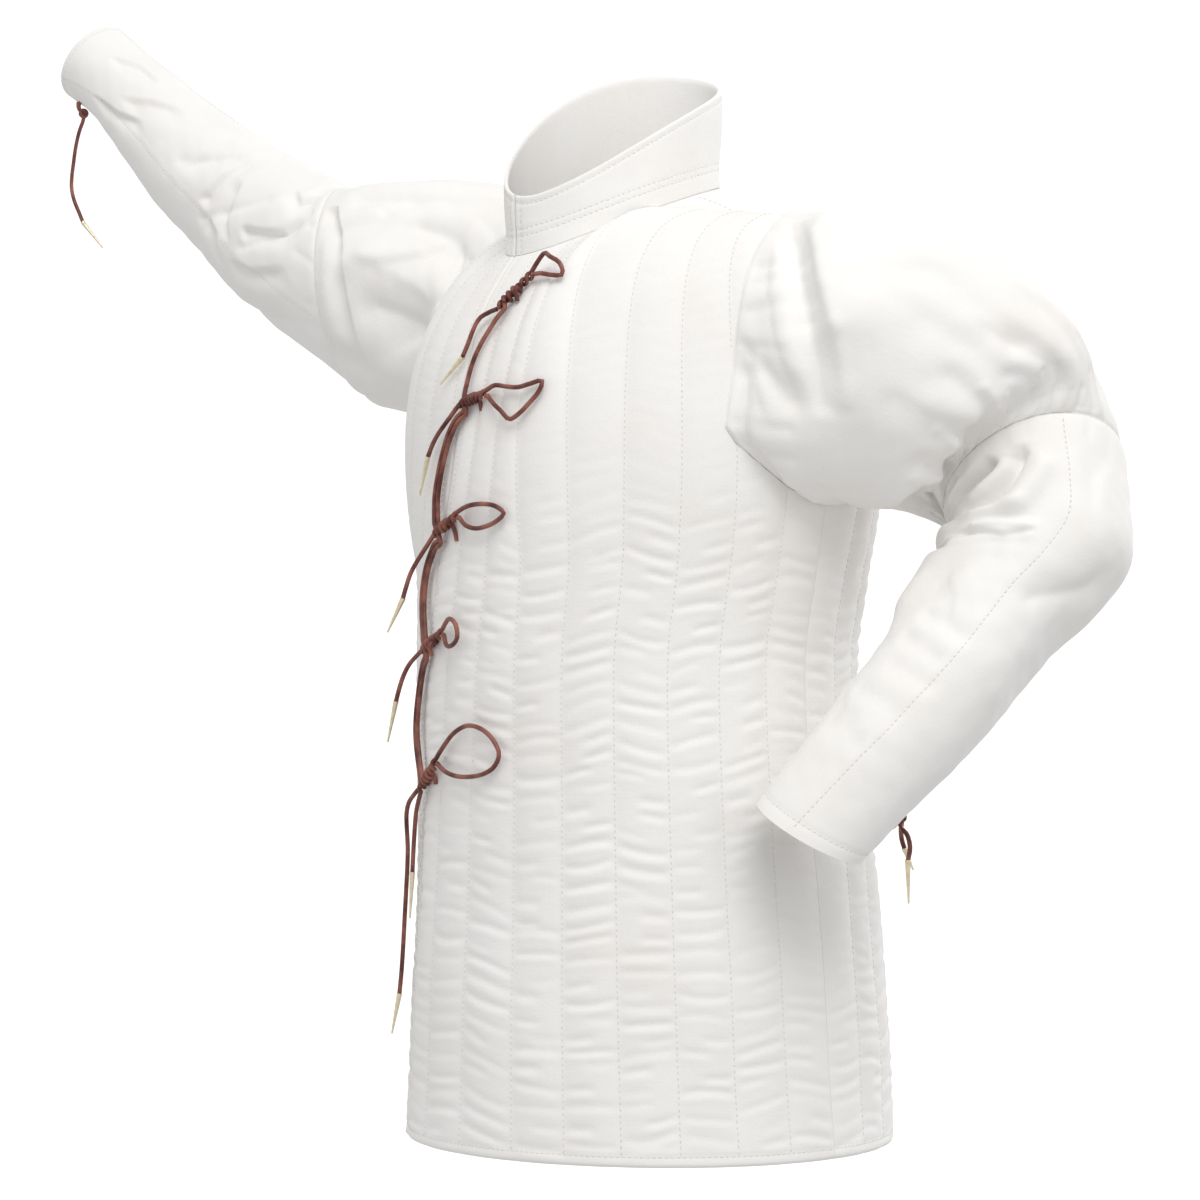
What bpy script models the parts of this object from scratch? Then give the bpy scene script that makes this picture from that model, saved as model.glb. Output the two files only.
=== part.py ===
"""Gambeson: a quilted cotton arming coat with puffed sleeves and laced front.

Metres, +Z up.  The wearer faces -Y and the wearer's left is +X.  The origin lies on the
torso's plumb line at the height where the collar meets the shoulders.
"""
import math
from collections import namedtuple

import bmesh
import bpy
from mathutils import Vector
from mathutils.bvhtree import BVHTree

# ---- driving sizes ---------------------------------------------------------------------
SEAM_GAP = 0.0003          # what parts two sewn pieces
FRONT_GAP = 0.0020         # between the two front edges
QUILT_RISE = 0.0050        # channel crest above its stitch line
WALL_CREST = 0.0080        # quilted wall at a crest, from face to lining
WALL_TOP = 0.0060          # the same along the neck and shoulder seams
SLEEVE_WALL = 0.0030       # upper and lower sleeves
COLLAR_WALL = 0.0045
POINTS_PER_CHANNEL = 4

Finish = namedtuple("Finish", "colour roughness metallic")
COTTON = Finish((0.80, 0.76, 0.70), 0.85, 0.0)
LEATHER = Finish((0.16, 0.060, 0.040), 0.55, 0.0)
BRASS = Finish((0.72, 0.56, 0.27), 0.35, 1.0)

CHANNEL_PROFILE = (0.0, 0.78, 1.0, 0.78)

CHEST_HEIGHT = -0.280      # the yoke starts here and the sections end
LINING_RATIO = 2           # outer columns for each column of the lining
LEFT_CHANNELS = 9
BACK_CHANNELS = 11
RIGHT_CHANNELS = 8
BACK_END = LEFT_CHANNELS + BACK_CHANNELS
ALL_CHANNELS = BACK_END + RIGHT_CHANNELS
CHANNEL_ANGLE = 13.2       # degrees of girth that one channel takes
LOOSE_CHANNELS = 3         # channels beside the left front's edge, which share the rest

TRUNK_ROWS = 8
YOKE_ROWS = 8

# One row for each section of the trunk, hem first; angles in degrees from the front.
Section = namedtuple(
    "Section", "height half_width half_depth mid_x mid_y front_edge left_seam right_seam")
TRUNK = (
    Section(-0.805, 0.2240, 0.2075, 0.0, 0.005, -26.0, 102.0, 236.0),
    Section(-0.693, 0.2200, 0.2035, 0.0, 0.005, -25.0, 101.0, 238.0),
    Section(-0.570, 0.2110, 0.1960, 0.0, 0.002, -23.0, 101.0, 242.0),
    Section(-0.471, 0.2050, 0.1910, 0.0, -0.004, -19.0, 102.0, 247.0),
    Section(-0.388, 0.2025, 0.1900, 0.0, -0.007, -13.5, 103.0, 252.0),
    Section(-0.315, 0.2120, 0.1930, 0.0, -0.002, -8.0, 103.0, 256.0),
    Section(CHEST_HEIGHT, 0.2220, 0.1965, -0.004, 0.001, -3.0, 102.5, 258.0),
)

# The neck seam is an ellipse in a plane that rises to the nape and to the raised arm.
NECK_HALF_WIDTH = 0.075
NECK_HALF_DEPTH = 0.100
NECK_MID_Y = -0.031
NECK_MID_Z = -0.010
NECK_RISE_BACK = 0.037
NECK_RISE_SIDES = 0.009
NECK_RISE_RIGHT = 0.005

NECK_SLOPE = 1.1           # slope at which the front and the back reach the neck seam
NECK_TURN = 0.35           # sideways turn of the channels that end there

LEFT_SHOULDER_TIP = Vector((0.190, 0.012, -0.022))
RIGHT_SHOULDER_TIP = Vector((-0.185, 0.010, 0.008))
SHOULDER_OVERRUN = 0.14    # how far past the armhole the yoke is drawn before it is cut
LEFT_NECK_CHANNELS = 4.0   # channels that end at the neck seam, on the left front,
RIGHT_NECK_CHANNELS = 4.0  # on the right front,
BACK_NECK_CHANNELS = 2.0   # and on each half of the back

COLLAR_TOP_MID = 0.064     # height of the top edge, as an average of front and nape
COLLAR_TOP_BACK = 0.058    # rise from there to the nape
COLLAR_TOP_SIDES = 0.020   # rise at both sides
COLLAR_TOP_RIGHT = 0.024   # rise at the wearer's right, and fall at the left
COLLAR_LEAN = 0.002        # outward lean of the top edge
COLLAR_LIFT = 0.0005       # the collar stands this far above the panels' mitred edge
COLLAR_ROWS = 4

Armhole = namedtuple("Armhole", "middle outward scoop_depth scoop_width")
LEFT_ARMHOLE = Armhole(
    Vector((0.182, 0.040, -0.142)), Vector((0.95, 0.31, -0.04)).normalized(), 0.120, 0.118)
RIGHT_ARMHOLE = Armhole(
    Vector((-0.186, 0.028, -0.110)), Vector((-0.96, -0.02, 0.26)).normalized(), 0.120, 0.130)

ARMHOLE_TOP = 0.19         # the cutters reach this far above an armhole's middle
ARMHOLE_CUT = 0.11         # and this far out
SCOOP_STEPS = 24           # facets of the scooped lower edge
SCOOP_GAP = 0.0008         # the torso is cut this far outside the sleeve's seam

# A ring of a sleeve: its middle, and its half sizes across the arm's upper side and
# across its front side.
Ring = namedtuple("Ring", "x y z up_radius side_radius")
LEFT_UPPER = (
    Ring(0.2373, 0.0494, -0.1456, 0.122, 0.090),
    Ring(0.2620, 0.1079, -0.1586, 0.119, 0.090),
    Ring(0.2830, 0.1690, -0.1930, 0.110, 0.092),
    Ring(0.2830, 0.2060, -0.2431, 0.078, 0.076),
)
LEFT_LOWER = (
    Ring(0.3067, 0.1930, -0.3010, 0.078, 0.072),
    Ring(0.3060, 0.1480, -0.3530, 0.062, 0.062),
    Ring(0.3030, 0.0980, -0.4080, 0.058, 0.058),
    Ring(0.2870, 0.0400, -0.4700, 0.053, 0.052),
    Ring(0.2660, -0.0120, -0.5330, 0.050, 0.046),
)
RIGHT_UPPER = (
    Ring(-0.2450, 0.0080, -0.0660, 0.118, 0.105),
    Ring(-0.3142, -0.0272, -0.0443, 0.113, 0.105),
    Ring(-0.3720, -0.0580, -0.0370, 0.110, 0.102),
    Ring(-0.4060, -0.0730, -0.0300, 0.094, 0.088),
)
RIGHT_LOWER = (
    Ring(-0.4710, -0.0988, 0.0156, 0.077, 0.074),
    Ring(-0.5360, -0.1250, 0.0650, 0.065, 0.064),
    Ring(-0.5984, -0.1501, 0.1132, 0.057, 0.057),
    Ring(-0.6880, -0.1810, 0.1930, 0.042, 0.045),
    Ring(-0.7350, -0.1980, 0.2290, 0.043, 0.045),
)
# The way along the arm at each elbow seam and at each cuff.
LEFT_ELBOW_AXIS = Vector((0.675, -0.133, -0.728)).normalized()
LEFT_CUFF_AXIS = Vector((-0.408, -0.276, -0.860)).normalized()
RIGHT_ELBOW_AXIS = Vector((-0.750, -0.640, -0.080)).normalized()
RIGHT_CUFF_AXIS = Vector((-0.700, -0.350, 0.560)).normalized()
UPPER_POINTS = 48
LOWER_POINTS = 32

# A fold runs straight between two places on a sleeve: along from 0 at its upper seam to 1,
# and round from 0 at the side axis; width and height in metres, troughs negative.
Fold = namedtuple("Fold", "along_0 round_0 along_1 round_1 width height")
LEFT_UPPER_FOLDS = (
    Fold(0.10, 0.335, 0.20, 0.425, 0.017, -0.007),
    Fold(0.20, 0.425, 0.32, 0.590, 0.017, -0.006),
    Fold(0.11, 0.285, 0.26, 0.390, 0.020, 0.006),
    Fold(0.26, 0.390, 0.40, 0.520, 0.020, 0.004),
    Fold(0.08, 0.505, 0.20, 0.560, 0.016, -0.005),
    Fold(0.10, 0.445, 0.22, 0.520, 0.018, 0.004),
    Fold(0.54, 0.495, 0.86, 0.525, 0.014, -0.006),
    Fold(0.54, 0.550, 0.82, 0.590, 0.014, -0.006),
    Fold(0.60, 0.522, 0.86, 0.560, 0.016, 0.005),
    Fold(0.62, 0.440, 0.88, 0.465, 0.014, -0.005),
    Fold(0.70, 0.385, 0.90, 0.400, 0.014, -0.005),
    Fold(0.60, 0.620, 0.80, 0.640, 0.018, 0.004),
    Fold(0.72, 0.700, 0.92, 0.705, 0.016, -0.006),
    Fold(0.68, 0.270, 0.90, 0.280, 0.015, -0.005),
    Fold(0.66, 0.140, 0.88, 0.130, 0.015, -0.005),
    Fold(0.64, 0.020, 0.88, 0.030, 0.015, -0.005),
    Fold(0.60, 0.880, 0.88, 0.870, 0.015, -0.006),
    Fold(0.10, 0.180, 0.34, 0.200, 0.020, -0.006),
    Fold(0.10, 0.060, 0.30, 0.040, 0.020, -0.005),
)
RIGHT_UPPER_FOLDS = (
    Fold(0.12, 0.080, 0.46, 0.110, 0.020, -0.007),
    Fold(0.14, 0.030, 0.50, 0.050, 0.020, 0.006),
    Fold(0.16, 0.960, 0.52, 0.990, 0.018, -0.006),
    Fold(0.12, 0.880, 0.42, 0.900, 0.020, 0.005),
    Fold(0.40, 0.170, 0.72, 0.160, 0.018, -0.006),
    Fold(0.62, 0.115, 0.90, 0.090, 0.015, -0.006),
    Fold(0.64, 0.060, 0.90, 0.040, 0.015, 0.005),
    Fold(0.62, 0.985, 0.90, 0.985, 0.015, -0.006),
    Fold(0.60, 0.900, 0.88, 0.915, 0.015, -0.005),
    Fold(0.64, 0.800, 0.90, 0.810, 0.016, -0.005),
    Fold(0.62, 0.250, 0.90, 0.240, 0.016, -0.005),
    Fold(0.60, 0.380, 0.88, 0.375, 0.016, -0.006),
    Fold(0.62, 0.520, 0.88, 0.530, 0.016, -0.005),
    Fold(0.62, 0.660, 0.88, 0.655, 0.016, -0.006),
    Fold(0.10, 0.420, 0.38, 0.400, 0.020, -0.006),
    Fold(0.10, 0.600, 0.36, 0.620, 0.020, -0.005),
)
LEFT_LOWER_FOLDS = (
    Fold(0.07, 0.455, 0.20, 0.620, 0.014, -0.006),
    Fold(0.12, 0.420, 0.27, 0.600, 0.016, 0.005),
    Fold(0.18, 0.480, 0.32, 0.660, 0.014, -0.005),
    Fold(0.10, 0.700, 0.26, 0.780, 0.015, -0.005),
    Fold(0.30, 0.250, 0.38, 0.330, 0.016, -0.003),
    Fold(0.36, 0.480, 0.44, 0.590, 0.016, -0.004),
    Fold(0.50, 0.550, 0.58, 0.640, 0.016, -0.003),
)
RIGHT_LOWER_FOLDS = (
    Fold(0.08, 0.130, 0.20, 0.020, 0.015, -0.005),
    Fold(0.12, 0.180, 0.26, 0.070, 0.016, 0.004),
    Fold(0.24, 0.120, 0.36, 0.000, 0.015, -0.004),
    Fold(0.10, 0.900, 0.24, 0.800, 0.015, -0.004),
    Fold(0.40, 0.160, 0.50, 0.080, 0.016, -0.003),
    Fold(0.14, 0.520, 0.26, 0.600, 0.016, -0.004),
)
ELBOW_STEP = 0.003         # least way between the rings beside the elbow seam
SETTLE_PASSES = 16         # times a pushed stretch of sleeve is evened out
EVEN_PASSES = 4            # times the rings above an elbow seam are

# Laces are round leather.  A place on the fronts is metres to the wearer's left of the
# front edge, height, and lift off the cloth.
LACE = 0.0040
KNOT = 0.0100              # across the wraps of a knot
LACE_STEP = 0.012          # between the points of a lace's tube
AIGLET_MOUTH = 0.0046
AIGLET_TIP = 0.0016
BESIDE = 0.0047            # between two laces that lie side by side
CUFF_BESIDE = 0.0066       # and where two leave a cuff's knot
RUN_INSET = 0.0055         # where the runs leave a knot, from its end

# Each tie: the ends of its knot, and the routes that leave them.
Tie = namedtuple("Tie", "edge_end loop_end loop short short_tip run run_strands")
TIES = (
    Tie((0.034, -0.100, 0.008), (0.062, -0.074, 0.008),
        ((0.074, -0.062, 0.012), (0.096, -0.064, 0.013), (0.120, -0.069, 0.009),
         (0.124, -0.076, 0.006), (0.104, -0.075, 0.005), (0.084, -0.074, 0.006)),
        ((0.011, -0.108, 0.006), (0.005, -0.125, 0.005), (0.001, -0.138, 0.005)),
        (-0.026, -0.160, 0.005),
        ((0.021, -0.130, 0.004), (0.014, -0.152, 0.004)), 1),
    Tie((0.010, -0.179, 0.008), (0.042, -0.172, 0.008),
        ((0.056, -0.166, 0.006), (0.081, -0.169, 0.005), (0.107, -0.165, 0.005),
         (0.097, -0.180, 0.005), (0.078, -0.195, 0.005), (0.066, -0.188, 0.006)),
        ((-0.002, -0.191, 0.006), (-0.019, -0.206, 0.006), (-0.030, -0.220, 0.005)),
        (-0.039, -0.252, 0.005),
        ((0.001, -0.202, 0.004), (-0.006, -0.228, 0.004), (-0.007, -0.256, 0.004)), 2),
    Tie((0.004, -0.286, 0.008), (0.034, -0.272, 0.008),
        ((0.046, -0.265, 0.006), (0.064, -0.264, 0.005), (0.084, -0.268, 0.005),
         (0.090, -0.274, 0.005), (0.080, -0.281, 0.005), (0.062, -0.284, 0.005),
         (0.047, -0.280, 0.006)),
        ((-0.005, -0.302, 0.011), (-0.010, -0.319, 0.017), (-0.012, -0.341, 0.021)),
        (-0.014, -0.370, 0.031),
        ((-0.006, -0.314, 0.004), (-0.008, -0.344, 0.004)), 2),
    Tie((0.009, -0.384, 0.008), (0.044, -0.370, 0.008),
        ((0.056, -0.361, 0.010), (0.068, -0.360, 0.014), (0.078, -0.371, 0.013),
         (0.068, -0.381, 0.009), (0.058, -0.382, 0.007)),
        ((-0.005, -0.396, 0.012), (-0.010, -0.410, 0.017), (-0.012, -0.428, 0.021)),
        (-0.014, -0.463, 0.027),
        ((0.003, -0.416, 0.004), (0.001, -0.455, 0.005)), 2),
    Tie((0.024, -0.503, 0.008), (0.056, -0.479, 0.008),
        ((0.070, -0.464, 0.006), (0.083, -0.453, 0.005), (0.102, -0.448, 0.005),
         (0.124, -0.455, 0.005), (0.139, -0.470, 0.005), (0.136, -0.482, 0.005),
         (0.122, -0.489, 0.005), (0.098, -0.491, 0.005), (0.078, -0.488, 0.006)),
        ((0.014, -0.522, 0.006), (0.008, -0.548, 0.006), (0.006, -0.576, 0.006)),
        (0.005, -0.616, 0.006), (), 0),
)
LONG_END = ((0.004, -0.520, 0.012), (-0.006, -0.560, 0.009), (-0.010, -0.610, 0.009),
            (-0.012, -0.657, 0.009), (-0.013, -0.683, 0.010))
LONG_END_TIP = (-0.015, -0.718, 0.015)

# The cuff ties hang from an eyelet in each cuff: knot, then the routes to the aiglets.
CuffTie = namedtuple("CuffTie", "name knot ends tips")
CUFF_TIES = (
    CuffTie("left_cuff_", ((0.2800, 0.0680, -0.5180), (0.2840, 0.0680, -0.5300)),
            (((0.2905, 0.0680, -0.5370), (0.2910, 0.0700, -0.5470), (0.2895, 0.0690, -0.5570)),
             ((0.2775, 0.0710, -0.5370), (0.2770, 0.0750, -0.5480))),
            ((0.2870, 0.0715, -0.5925), (0.2770, 0.0840, -0.5660))),
    CuffTie("right_cuff_", ((-0.7180, -0.2110, 0.1800), (-0.7290, -0.2180, 0.1700)),
            (((-0.7300, -0.2195, 0.1500), (-0.7310, -0.2230, 0.1280),
              (-0.7320, -0.2250, 0.0940), (-0.7245, -0.2160, 0.0620)),),
            ((-0.7136, -0.1984, 0.0352),)),
)


# ---- small helpers ---------------------------------------------------------------------
def blend(low, high, share):
    """Value or vector a share of the way from low to high."""
    return low + (high - low) * share


def smooth(share):
    """0 to 1 with level ends."""
    share = min(max(share, 0.0), 1.0)
    return share * share * (3.0 - 2.0 * share)


def bezier(p0, p1, p2, p3, s):
    """Point of a cubic Bezier curve."""
    r = 1.0 - s
    return p0 * r ** 3 + p1 * 3 * r * r * s + p2 * 3 * r * s * s + p3 * s ** 3


def through(points, place):
    """Smooth curve through the points; place runs from 0 to len(points) - 1."""
    last = len(points) - 1
    i = min(int(place), last - 1)
    s = place - i
    p1, p2 = points[i], points[i + 1]
    p0 = points[i - 1] if i > 0 else p1 * 2 - p2
    p3 = points[i + 2] if i + 2 <= last else p2 * 2 - p1
    return (p1 * 2 + (p2 - p0) * s + (p0 * 2 - p1 * 5 + p2 * 4 - p3) * s * s
            + (p1 * 3 - p0 - p2 * 3 + p3) * s ** 3) * 0.5


def section_at(height):
    """The trunk's section at a height, read smoothly from the table."""
    i = 0
    while i < len(TRUNK) - 2 and height > TRUNK[i + 1].height:
        i += 1
    place = i + (height - TRUNK[i].height) / (TRUNK[i + 1].height - TRUNK[i].height)
    columns = [through(column, place) for column in zip(*TRUNK)]
    return Section(*columns)


# ---- the torso's form ------------------------------------------------------------------
def girth_angle(around, section):
    """Angle from the front, in degrees, of a place counted in channels.

    0 to 9 is the left front from its edge to the side seam, then the back up to 20, then
    the right front from its side seam to its edge at 28.
    """
    if around < LOOSE_CHANNELS:
        steady = (LEFT_CHANNELS - LOOSE_CHANNELS) * CHANNEL_ANGLE
        share = around / LOOSE_CHANNELS
        return blend(section.front_edge, section.left_seam - steady, share)
    if around <= LEFT_CHANNELS:
        return section.left_seam - (LEFT_CHANNELS - around) * CHANNEL_ANGLE
    if around <= BACK_END:
        share = (around - LEFT_CHANNELS) / BACK_CHANNELS
        return blend(section.left_seam, section.right_seam, share)
    share = (around - BACK_END) / RIGHT_CHANNELS
    return blend(section.right_seam, section.front_edge + 360.0, share)


def trunk_point(around, height):
    section = section_at(height)
    angle = math.radians(girth_angle(around, section))
    return Vector((section.mid_x + section.half_width * math.sin(angle),
                   section.mid_y - section.half_depth * math.cos(angle), height))


def neck_point(angle):
    """Point of the neck seam; angle in degrees from the front towards the left."""
    a = math.radians(angle)
    return Vector((NECK_HALF_WIDTH * math.sin(a), NECK_MID_Y - NECK_HALF_DEPTH * math.cos(a),
                   NECK_MID_Z - NECK_RISE_BACK * math.cos(a) - NECK_RISE_RIGHT * math.sin(a)
                   + NECK_RISE_SIDES * math.sin(a) ** 2))


def shoulder_point(side_angle, share):
    """Point of a shoulder seam; share is 0 at the neck and 1 at the armhole."""
    tip = LEFT_SHOULDER_TIP if side_angle < 180 else RIGHT_SHOULDER_TIP
    return blend(neck_point(side_angle), tip, share)


def yoke_top(around):
    """Where a channel ends above: the point, its direction there and the way to the lining."""
    back_middle = LEFT_CHANNELS + BACK_CHANNELS / 2
    if around <= LEFT_CHANNELS:
        from_edge, side, across, neck_start = around, 90.0, 1.0, 0.0
        neck_channels, channels = LEFT_NECK_CHANNELS, LEFT_CHANNELS
    elif around <= BACK_END:
        from_edge, across, neck_start = abs(around - back_middle), -1.0, 180.0
        side = 90.0 if around <= back_middle else 270.0
        neck_channels, channels = BACK_NECK_CHANNELS, BACK_CHANNELS / 2
    else:
        from_edge, side, across, neck_start = ALL_CHANNELS - around, 270.0, 1.0, 360.0
        neck_channels, channels = RIGHT_NECK_CHANNELS, RIGHT_CHANNELS
    outward = 1.0 if side < 180 else -1.0
    if from_edge <= neck_channels:
        angle = blend(neck_start, side, from_edge / neck_channels)
        a = math.radians(angle)
        inward = Vector((-math.sin(a), math.cos(a), 0.0))
        share = smooth(from_edge / neck_channels)
        turn = -2.0 * NECK_TURN * math.sin(a) * abs(math.cos(a))
        arrival = Vector((turn, across, blend(NECK_SLOPE, 0.04, share)))
        down = Vector((0.0, 0.0, -0.2 - 0.8 * share))
        return neck_point(angle), arrival.normalized(), (inward + down).normalized()
    place = (from_edge - neck_channels) / (channels - neck_channels)
    share = (1.0 - (1.0 - place) ** 2) * (1.0 + SHOULDER_OVERRUN)
    turn = smooth((place - 0.5) / 0.5)
    arrival = blend(Vector((0.0, across, 0.04)), Vector((-0.5 * outward, 0.0, 0.85)), turn)
    down = Vector((-0.5 * outward * turn, 0.0, -1.0))
    return shoulder_point(side, share), arrival.normalized(), down.normalized()


def torso_form(around, rise):
    """The torso's outer form.  rise is 0 at the hem, 1 at the chest and 2 at the top."""
    if rise <= 1.0:
        return trunk_point(around, blend(TRUNK[0].height, CHEST_HEIGHT, max(rise, 0.0)))
    low = trunk_point(around, CHEST_HEIGHT)
    step = 0.004
    start = (low - trunk_point(around, CHEST_HEIGHT - step)) / step
    top, arrival, _ = yoke_top(around)
    reach = (top - low).length
    return bezier(low, low + start * reach * 0.48, top - arrival * reach * 0.32, top,
                  rise - 1.0)


def torso_normal(around, rise):
    """Outward normal of the form, from its slopes."""
    d = 0.02
    across = torso_form(min(around + d, ALL_CHANNELS), rise)
    across = across - torso_form(max(around - d, 0.0), rise)
    low, high = max(rise - d, 0.0), min(rise + d, 2.0)
    along = torso_form(around, high) - torso_form(around, low)
    return across.cross(along).normalized()


def quilt_fade(rise):
    """Quilting is full over the trunk, low at the hem and flat along the top edge."""
    return blend(0.35, 1.0, smooth(rise / 0.1)) * (1.0 - smooth((rise - 1.15) / 0.85) ** 2)


def torso_wall(around, rise, relief):
    """Outer and inner point of the quilted wall; relief is 1 on a channel's crest."""
    form = torso_form(around, rise)
    if rise >= 2.0:
        _, arrival, down = yoke_top(around)
        form = form - arrival * SEAM_GAP / 2
        return form, form + down * WALL_TOP
    normal = torso_normal(around, rise)
    sunk = QUILT_RISE * quilt_fade(rise) * (1.0 - relief)
    return form - normal * sunk, form - normal * WALL_CREST


# ---- finishes and meshes ---------------------------------------------------------------
def finish_material(name, finish):
    """A piece's own material."""
    material = bpy.data.materials.new(name)
    material.use_nodes = True
    shader = material.node_tree.nodes["Principled BSDF"]
    shader.inputs["Base Color"].default_value = (*finish.colour, 1.0)
    shader.inputs["Roughness"].default_value = finish.roughness
    shader.inputs["Metallic"].default_value = finish.metallic
    return material


def new_object(name, bm, finish, collection):
    """Object from a bmesh whose faces all point out; a cutter has no finish."""
    bmesh.ops.recalc_face_normals(bm, faces=bm.faces)
    mesh = bpy.data.meshes.new(name)
    bm.to_mesh(mesh)
    bm.free()
    mesh.shade_smooth()
    mesh.set_sharp_from_angle(angle=math.radians(50))
    if finish is not None:
        mesh.materials.append(finish_material(name, finish))
    obj = bpy.data.objects.new(name, mesh)
    collection.objects.link(obj)
    return obj


def shell(name, outer, inner, ratio, closed, collection):
    """Closed wall between two grids of points, rows first.

    The outer grid has ratio columns for each column of the inner grid, and both join up
    along their four edges, or along two where the rows are closed rings.
    """
    bm = bmesh.new()
    outs = [[bm.verts.new(p) for p in row] for row in outer]
    ins = [[bm.verts.new(p) for p in row] for row in inner]

    def column(row, i):
        return row[i % len(row)] if closed else row[i]

    spans = len(inner[0]) if closed else len(inner[0]) - 1
    for low, high in zip(outs, outs[1:]):
        for i in range(spans * ratio):
            bm.faces.new((column(low, i), column(low, i + 1),
                          column(high, i + 1), column(high, i)))
    for low, high in zip(ins, ins[1:]):
        for i in range(spans):
            bm.faces.new((column(low, i), column(high, i),
                          column(high, i + 1), column(low, i + 1)))
    for out_row, in_row, flip in ((outs[0], ins[0], True), (outs[-1], ins[-1], False)):
        for i in range(spans):
            first = i * ratio
            middle = first + ratio // 2
            near, far = column(in_row, i), column(in_row, i + 1)
            for j in range(first, first + ratio):
                corner = near if j < middle else far
                face = [column(out_row, j), column(out_row, j + 1), corner]
                bm.faces.new(face[::-1] if flip else face)
            bm.faces.new([column(out_row, middle), far, near][::1 if not flip else -1])
    if not closed:
        for side in (0, -1):
            for r in range(len(outs) - 1):
                bm.faces.new((outs[r][side], outs[r + 1][side],
                              ins[r + 1][side], ins[r][side]))
    return new_object(name, bm, COTTON, collection)


# ---- torso panels ----------------------------------------------------------------------
def panel_rises():
    trunk = [r / TRUNK_ROWS for r in range(TRUNK_ROWS + 1)]
    yoke = [1.0 + r / YOKE_ROWS for r in range(1, YOKE_ROWS + 1)]
    return trunk + yoke


def edge_shift(around, rise, metres):
    """A shift along the girth in metres, as a shift in channels."""
    d = 0.05
    low, high = max(around - d, 0.0), min(around + d, ALL_CHANNELS)
    width = (torso_form(high, rise) - torso_form(low, rise)).length
    return metres * (high - low) / max(width, 1e-5)


def build_panel(name, first, last, gaps, collection):
    """A quilted panel from channel first to channel last."""
    channels = last - first
    outer, inner = [], []
    for rise in panel_rises():
        ends = (first + edge_shift(first, min(rise, 1.6), gaps[0] / 2),
                last - edge_shift(last, min(rise, 1.6), gaps[1] / 2))
        out_row, in_row = [], []
        for i in range(channels * POINTS_PER_CHANNEL + 1):
            around = first + i / POINTS_PER_CHANNEL
            place = min(max(around, ends[0]), ends[1])
            relief = CHANNEL_PROFILE[i % POINTS_PER_CHANNEL]
            face, lining = torso_wall(place, rise, relief)
            out_row.append(face)
            if i % LINING_RATIO == 0:
                in_row.append(lining)
        outer.append(out_row)
        inner.append(in_row)
    return shell(name, outer, inner, LINING_RATIO, False, collection)


# ---- armholes --------------------------------------------------------------------------
def form_tree():
    """The torso's raised outer face as a search tree, before the armholes are cut."""
    rises = panel_rises()
    columns = ALL_CHANNELS * POINTS_PER_CHANNEL
    verts, faces = [], []
    for rise in rises:
        for i in range(columns + 1):
            relief = CHANNEL_PROFILE[i % POINTS_PER_CHANNEL]
            verts.append(torso_wall(i / POINTS_PER_CHANNEL, rise, relief)[0])
    for r in range(len(rises) - 1):
        for i in range(columns):
            k = r * (columns + 1) + i
            faces.append((k, k + 1, k + columns + 2, k + columns + 1))
    return BVHTree.FromPolygons(verts, faces)


def armhole_axes(armhole):
    """Upward and sideward directions in the armhole's plane."""
    up = Vector((0.0, 0.0, 1.0))
    up = (up - armhole.outward * up.dot(armhole.outward)).normalized()
    return up, up.cross(armhole.outward)


def scoop_reach(armhole, angle):
    """Distance from the armhole's middle to its scooped lower edge; open above."""
    if math.sin(angle) >= 0.0:
        return ARMHOLE_TOP
    return 1.0 / math.hypot(math.cos(angle) / armhole.scoop_width,
                            math.sin(angle) / armhole.scoop_depth)


def armhole_cutter(name, armhole, collection):
    """A block with a scooped underside whose flat inner face lies in the armhole's plane."""
    up, side = armhole_axes(armhole)
    wide, deep = armhole.scoop_width + SCOOP_GAP, armhole.scoop_depth + SCOOP_GAP
    outline = [(wide * math.cos(math.pi * k / SCOOP_STEPS),
                -deep * math.sin(math.pi * k / SCOOP_STEPS)) for k in range(SCOOP_STEPS + 1)]
    outline = [(wide, ARMHOLE_TOP)] + outline + [(-wide, ARMHOLE_TOP)]
    bm = bmesh.new()
    rings = []
    for depth in (0.0, ARMHOLE_CUT):
        rings.append([bm.verts.new(armhole.middle + armhole.outward * depth + side * x + up * y)
                      for x, y in outline])
    count = len(outline)
    for k in range(count):
        bm.faces.new((rings[0][k], rings[0][(k + 1) % count],
                      rings[1][(k + 1) % count], rings[1][k]))
    bm.faces.new(rings[0])
    bm.faces.new(rings[1])
    cutter = new_object(name, bm, None, collection)
    cutter.hide_render = True
    cutter.display_type = "WIRE"
    return cutter


def cut(obj, cutter):
    modifier = obj.modifiers.new("cut_" + cutter.name, "BOOLEAN")
    modifier.operation = "DIFFERENCE"
    modifier.solver = "EXACT"
    modifier.object = cutter


def seam_ring(armhole, tree, count):
    """The armhole's edge on the torso's outer face, anticlockwise seen from outside."""
    up, side = armhole_axes(armhole)
    ring = []
    for k in range(count):
        angle = 2.0 * math.pi * k / count
        ray = side * math.cos(angle) + up * math.sin(angle)
        limit = scoop_reach(armhole, angle)
        hit, _, _, reach = tree.ray_cast(armhole.middle, ray, limit)
        if hit is None:
            edge = armhole.middle + ray * limit
            hit, _, _, reach = tree.ray_cast(edge, armhole.outward, 0.12)
            hit = hit if hit is not None else edge
        ring.append(hit)
    return ring


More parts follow.
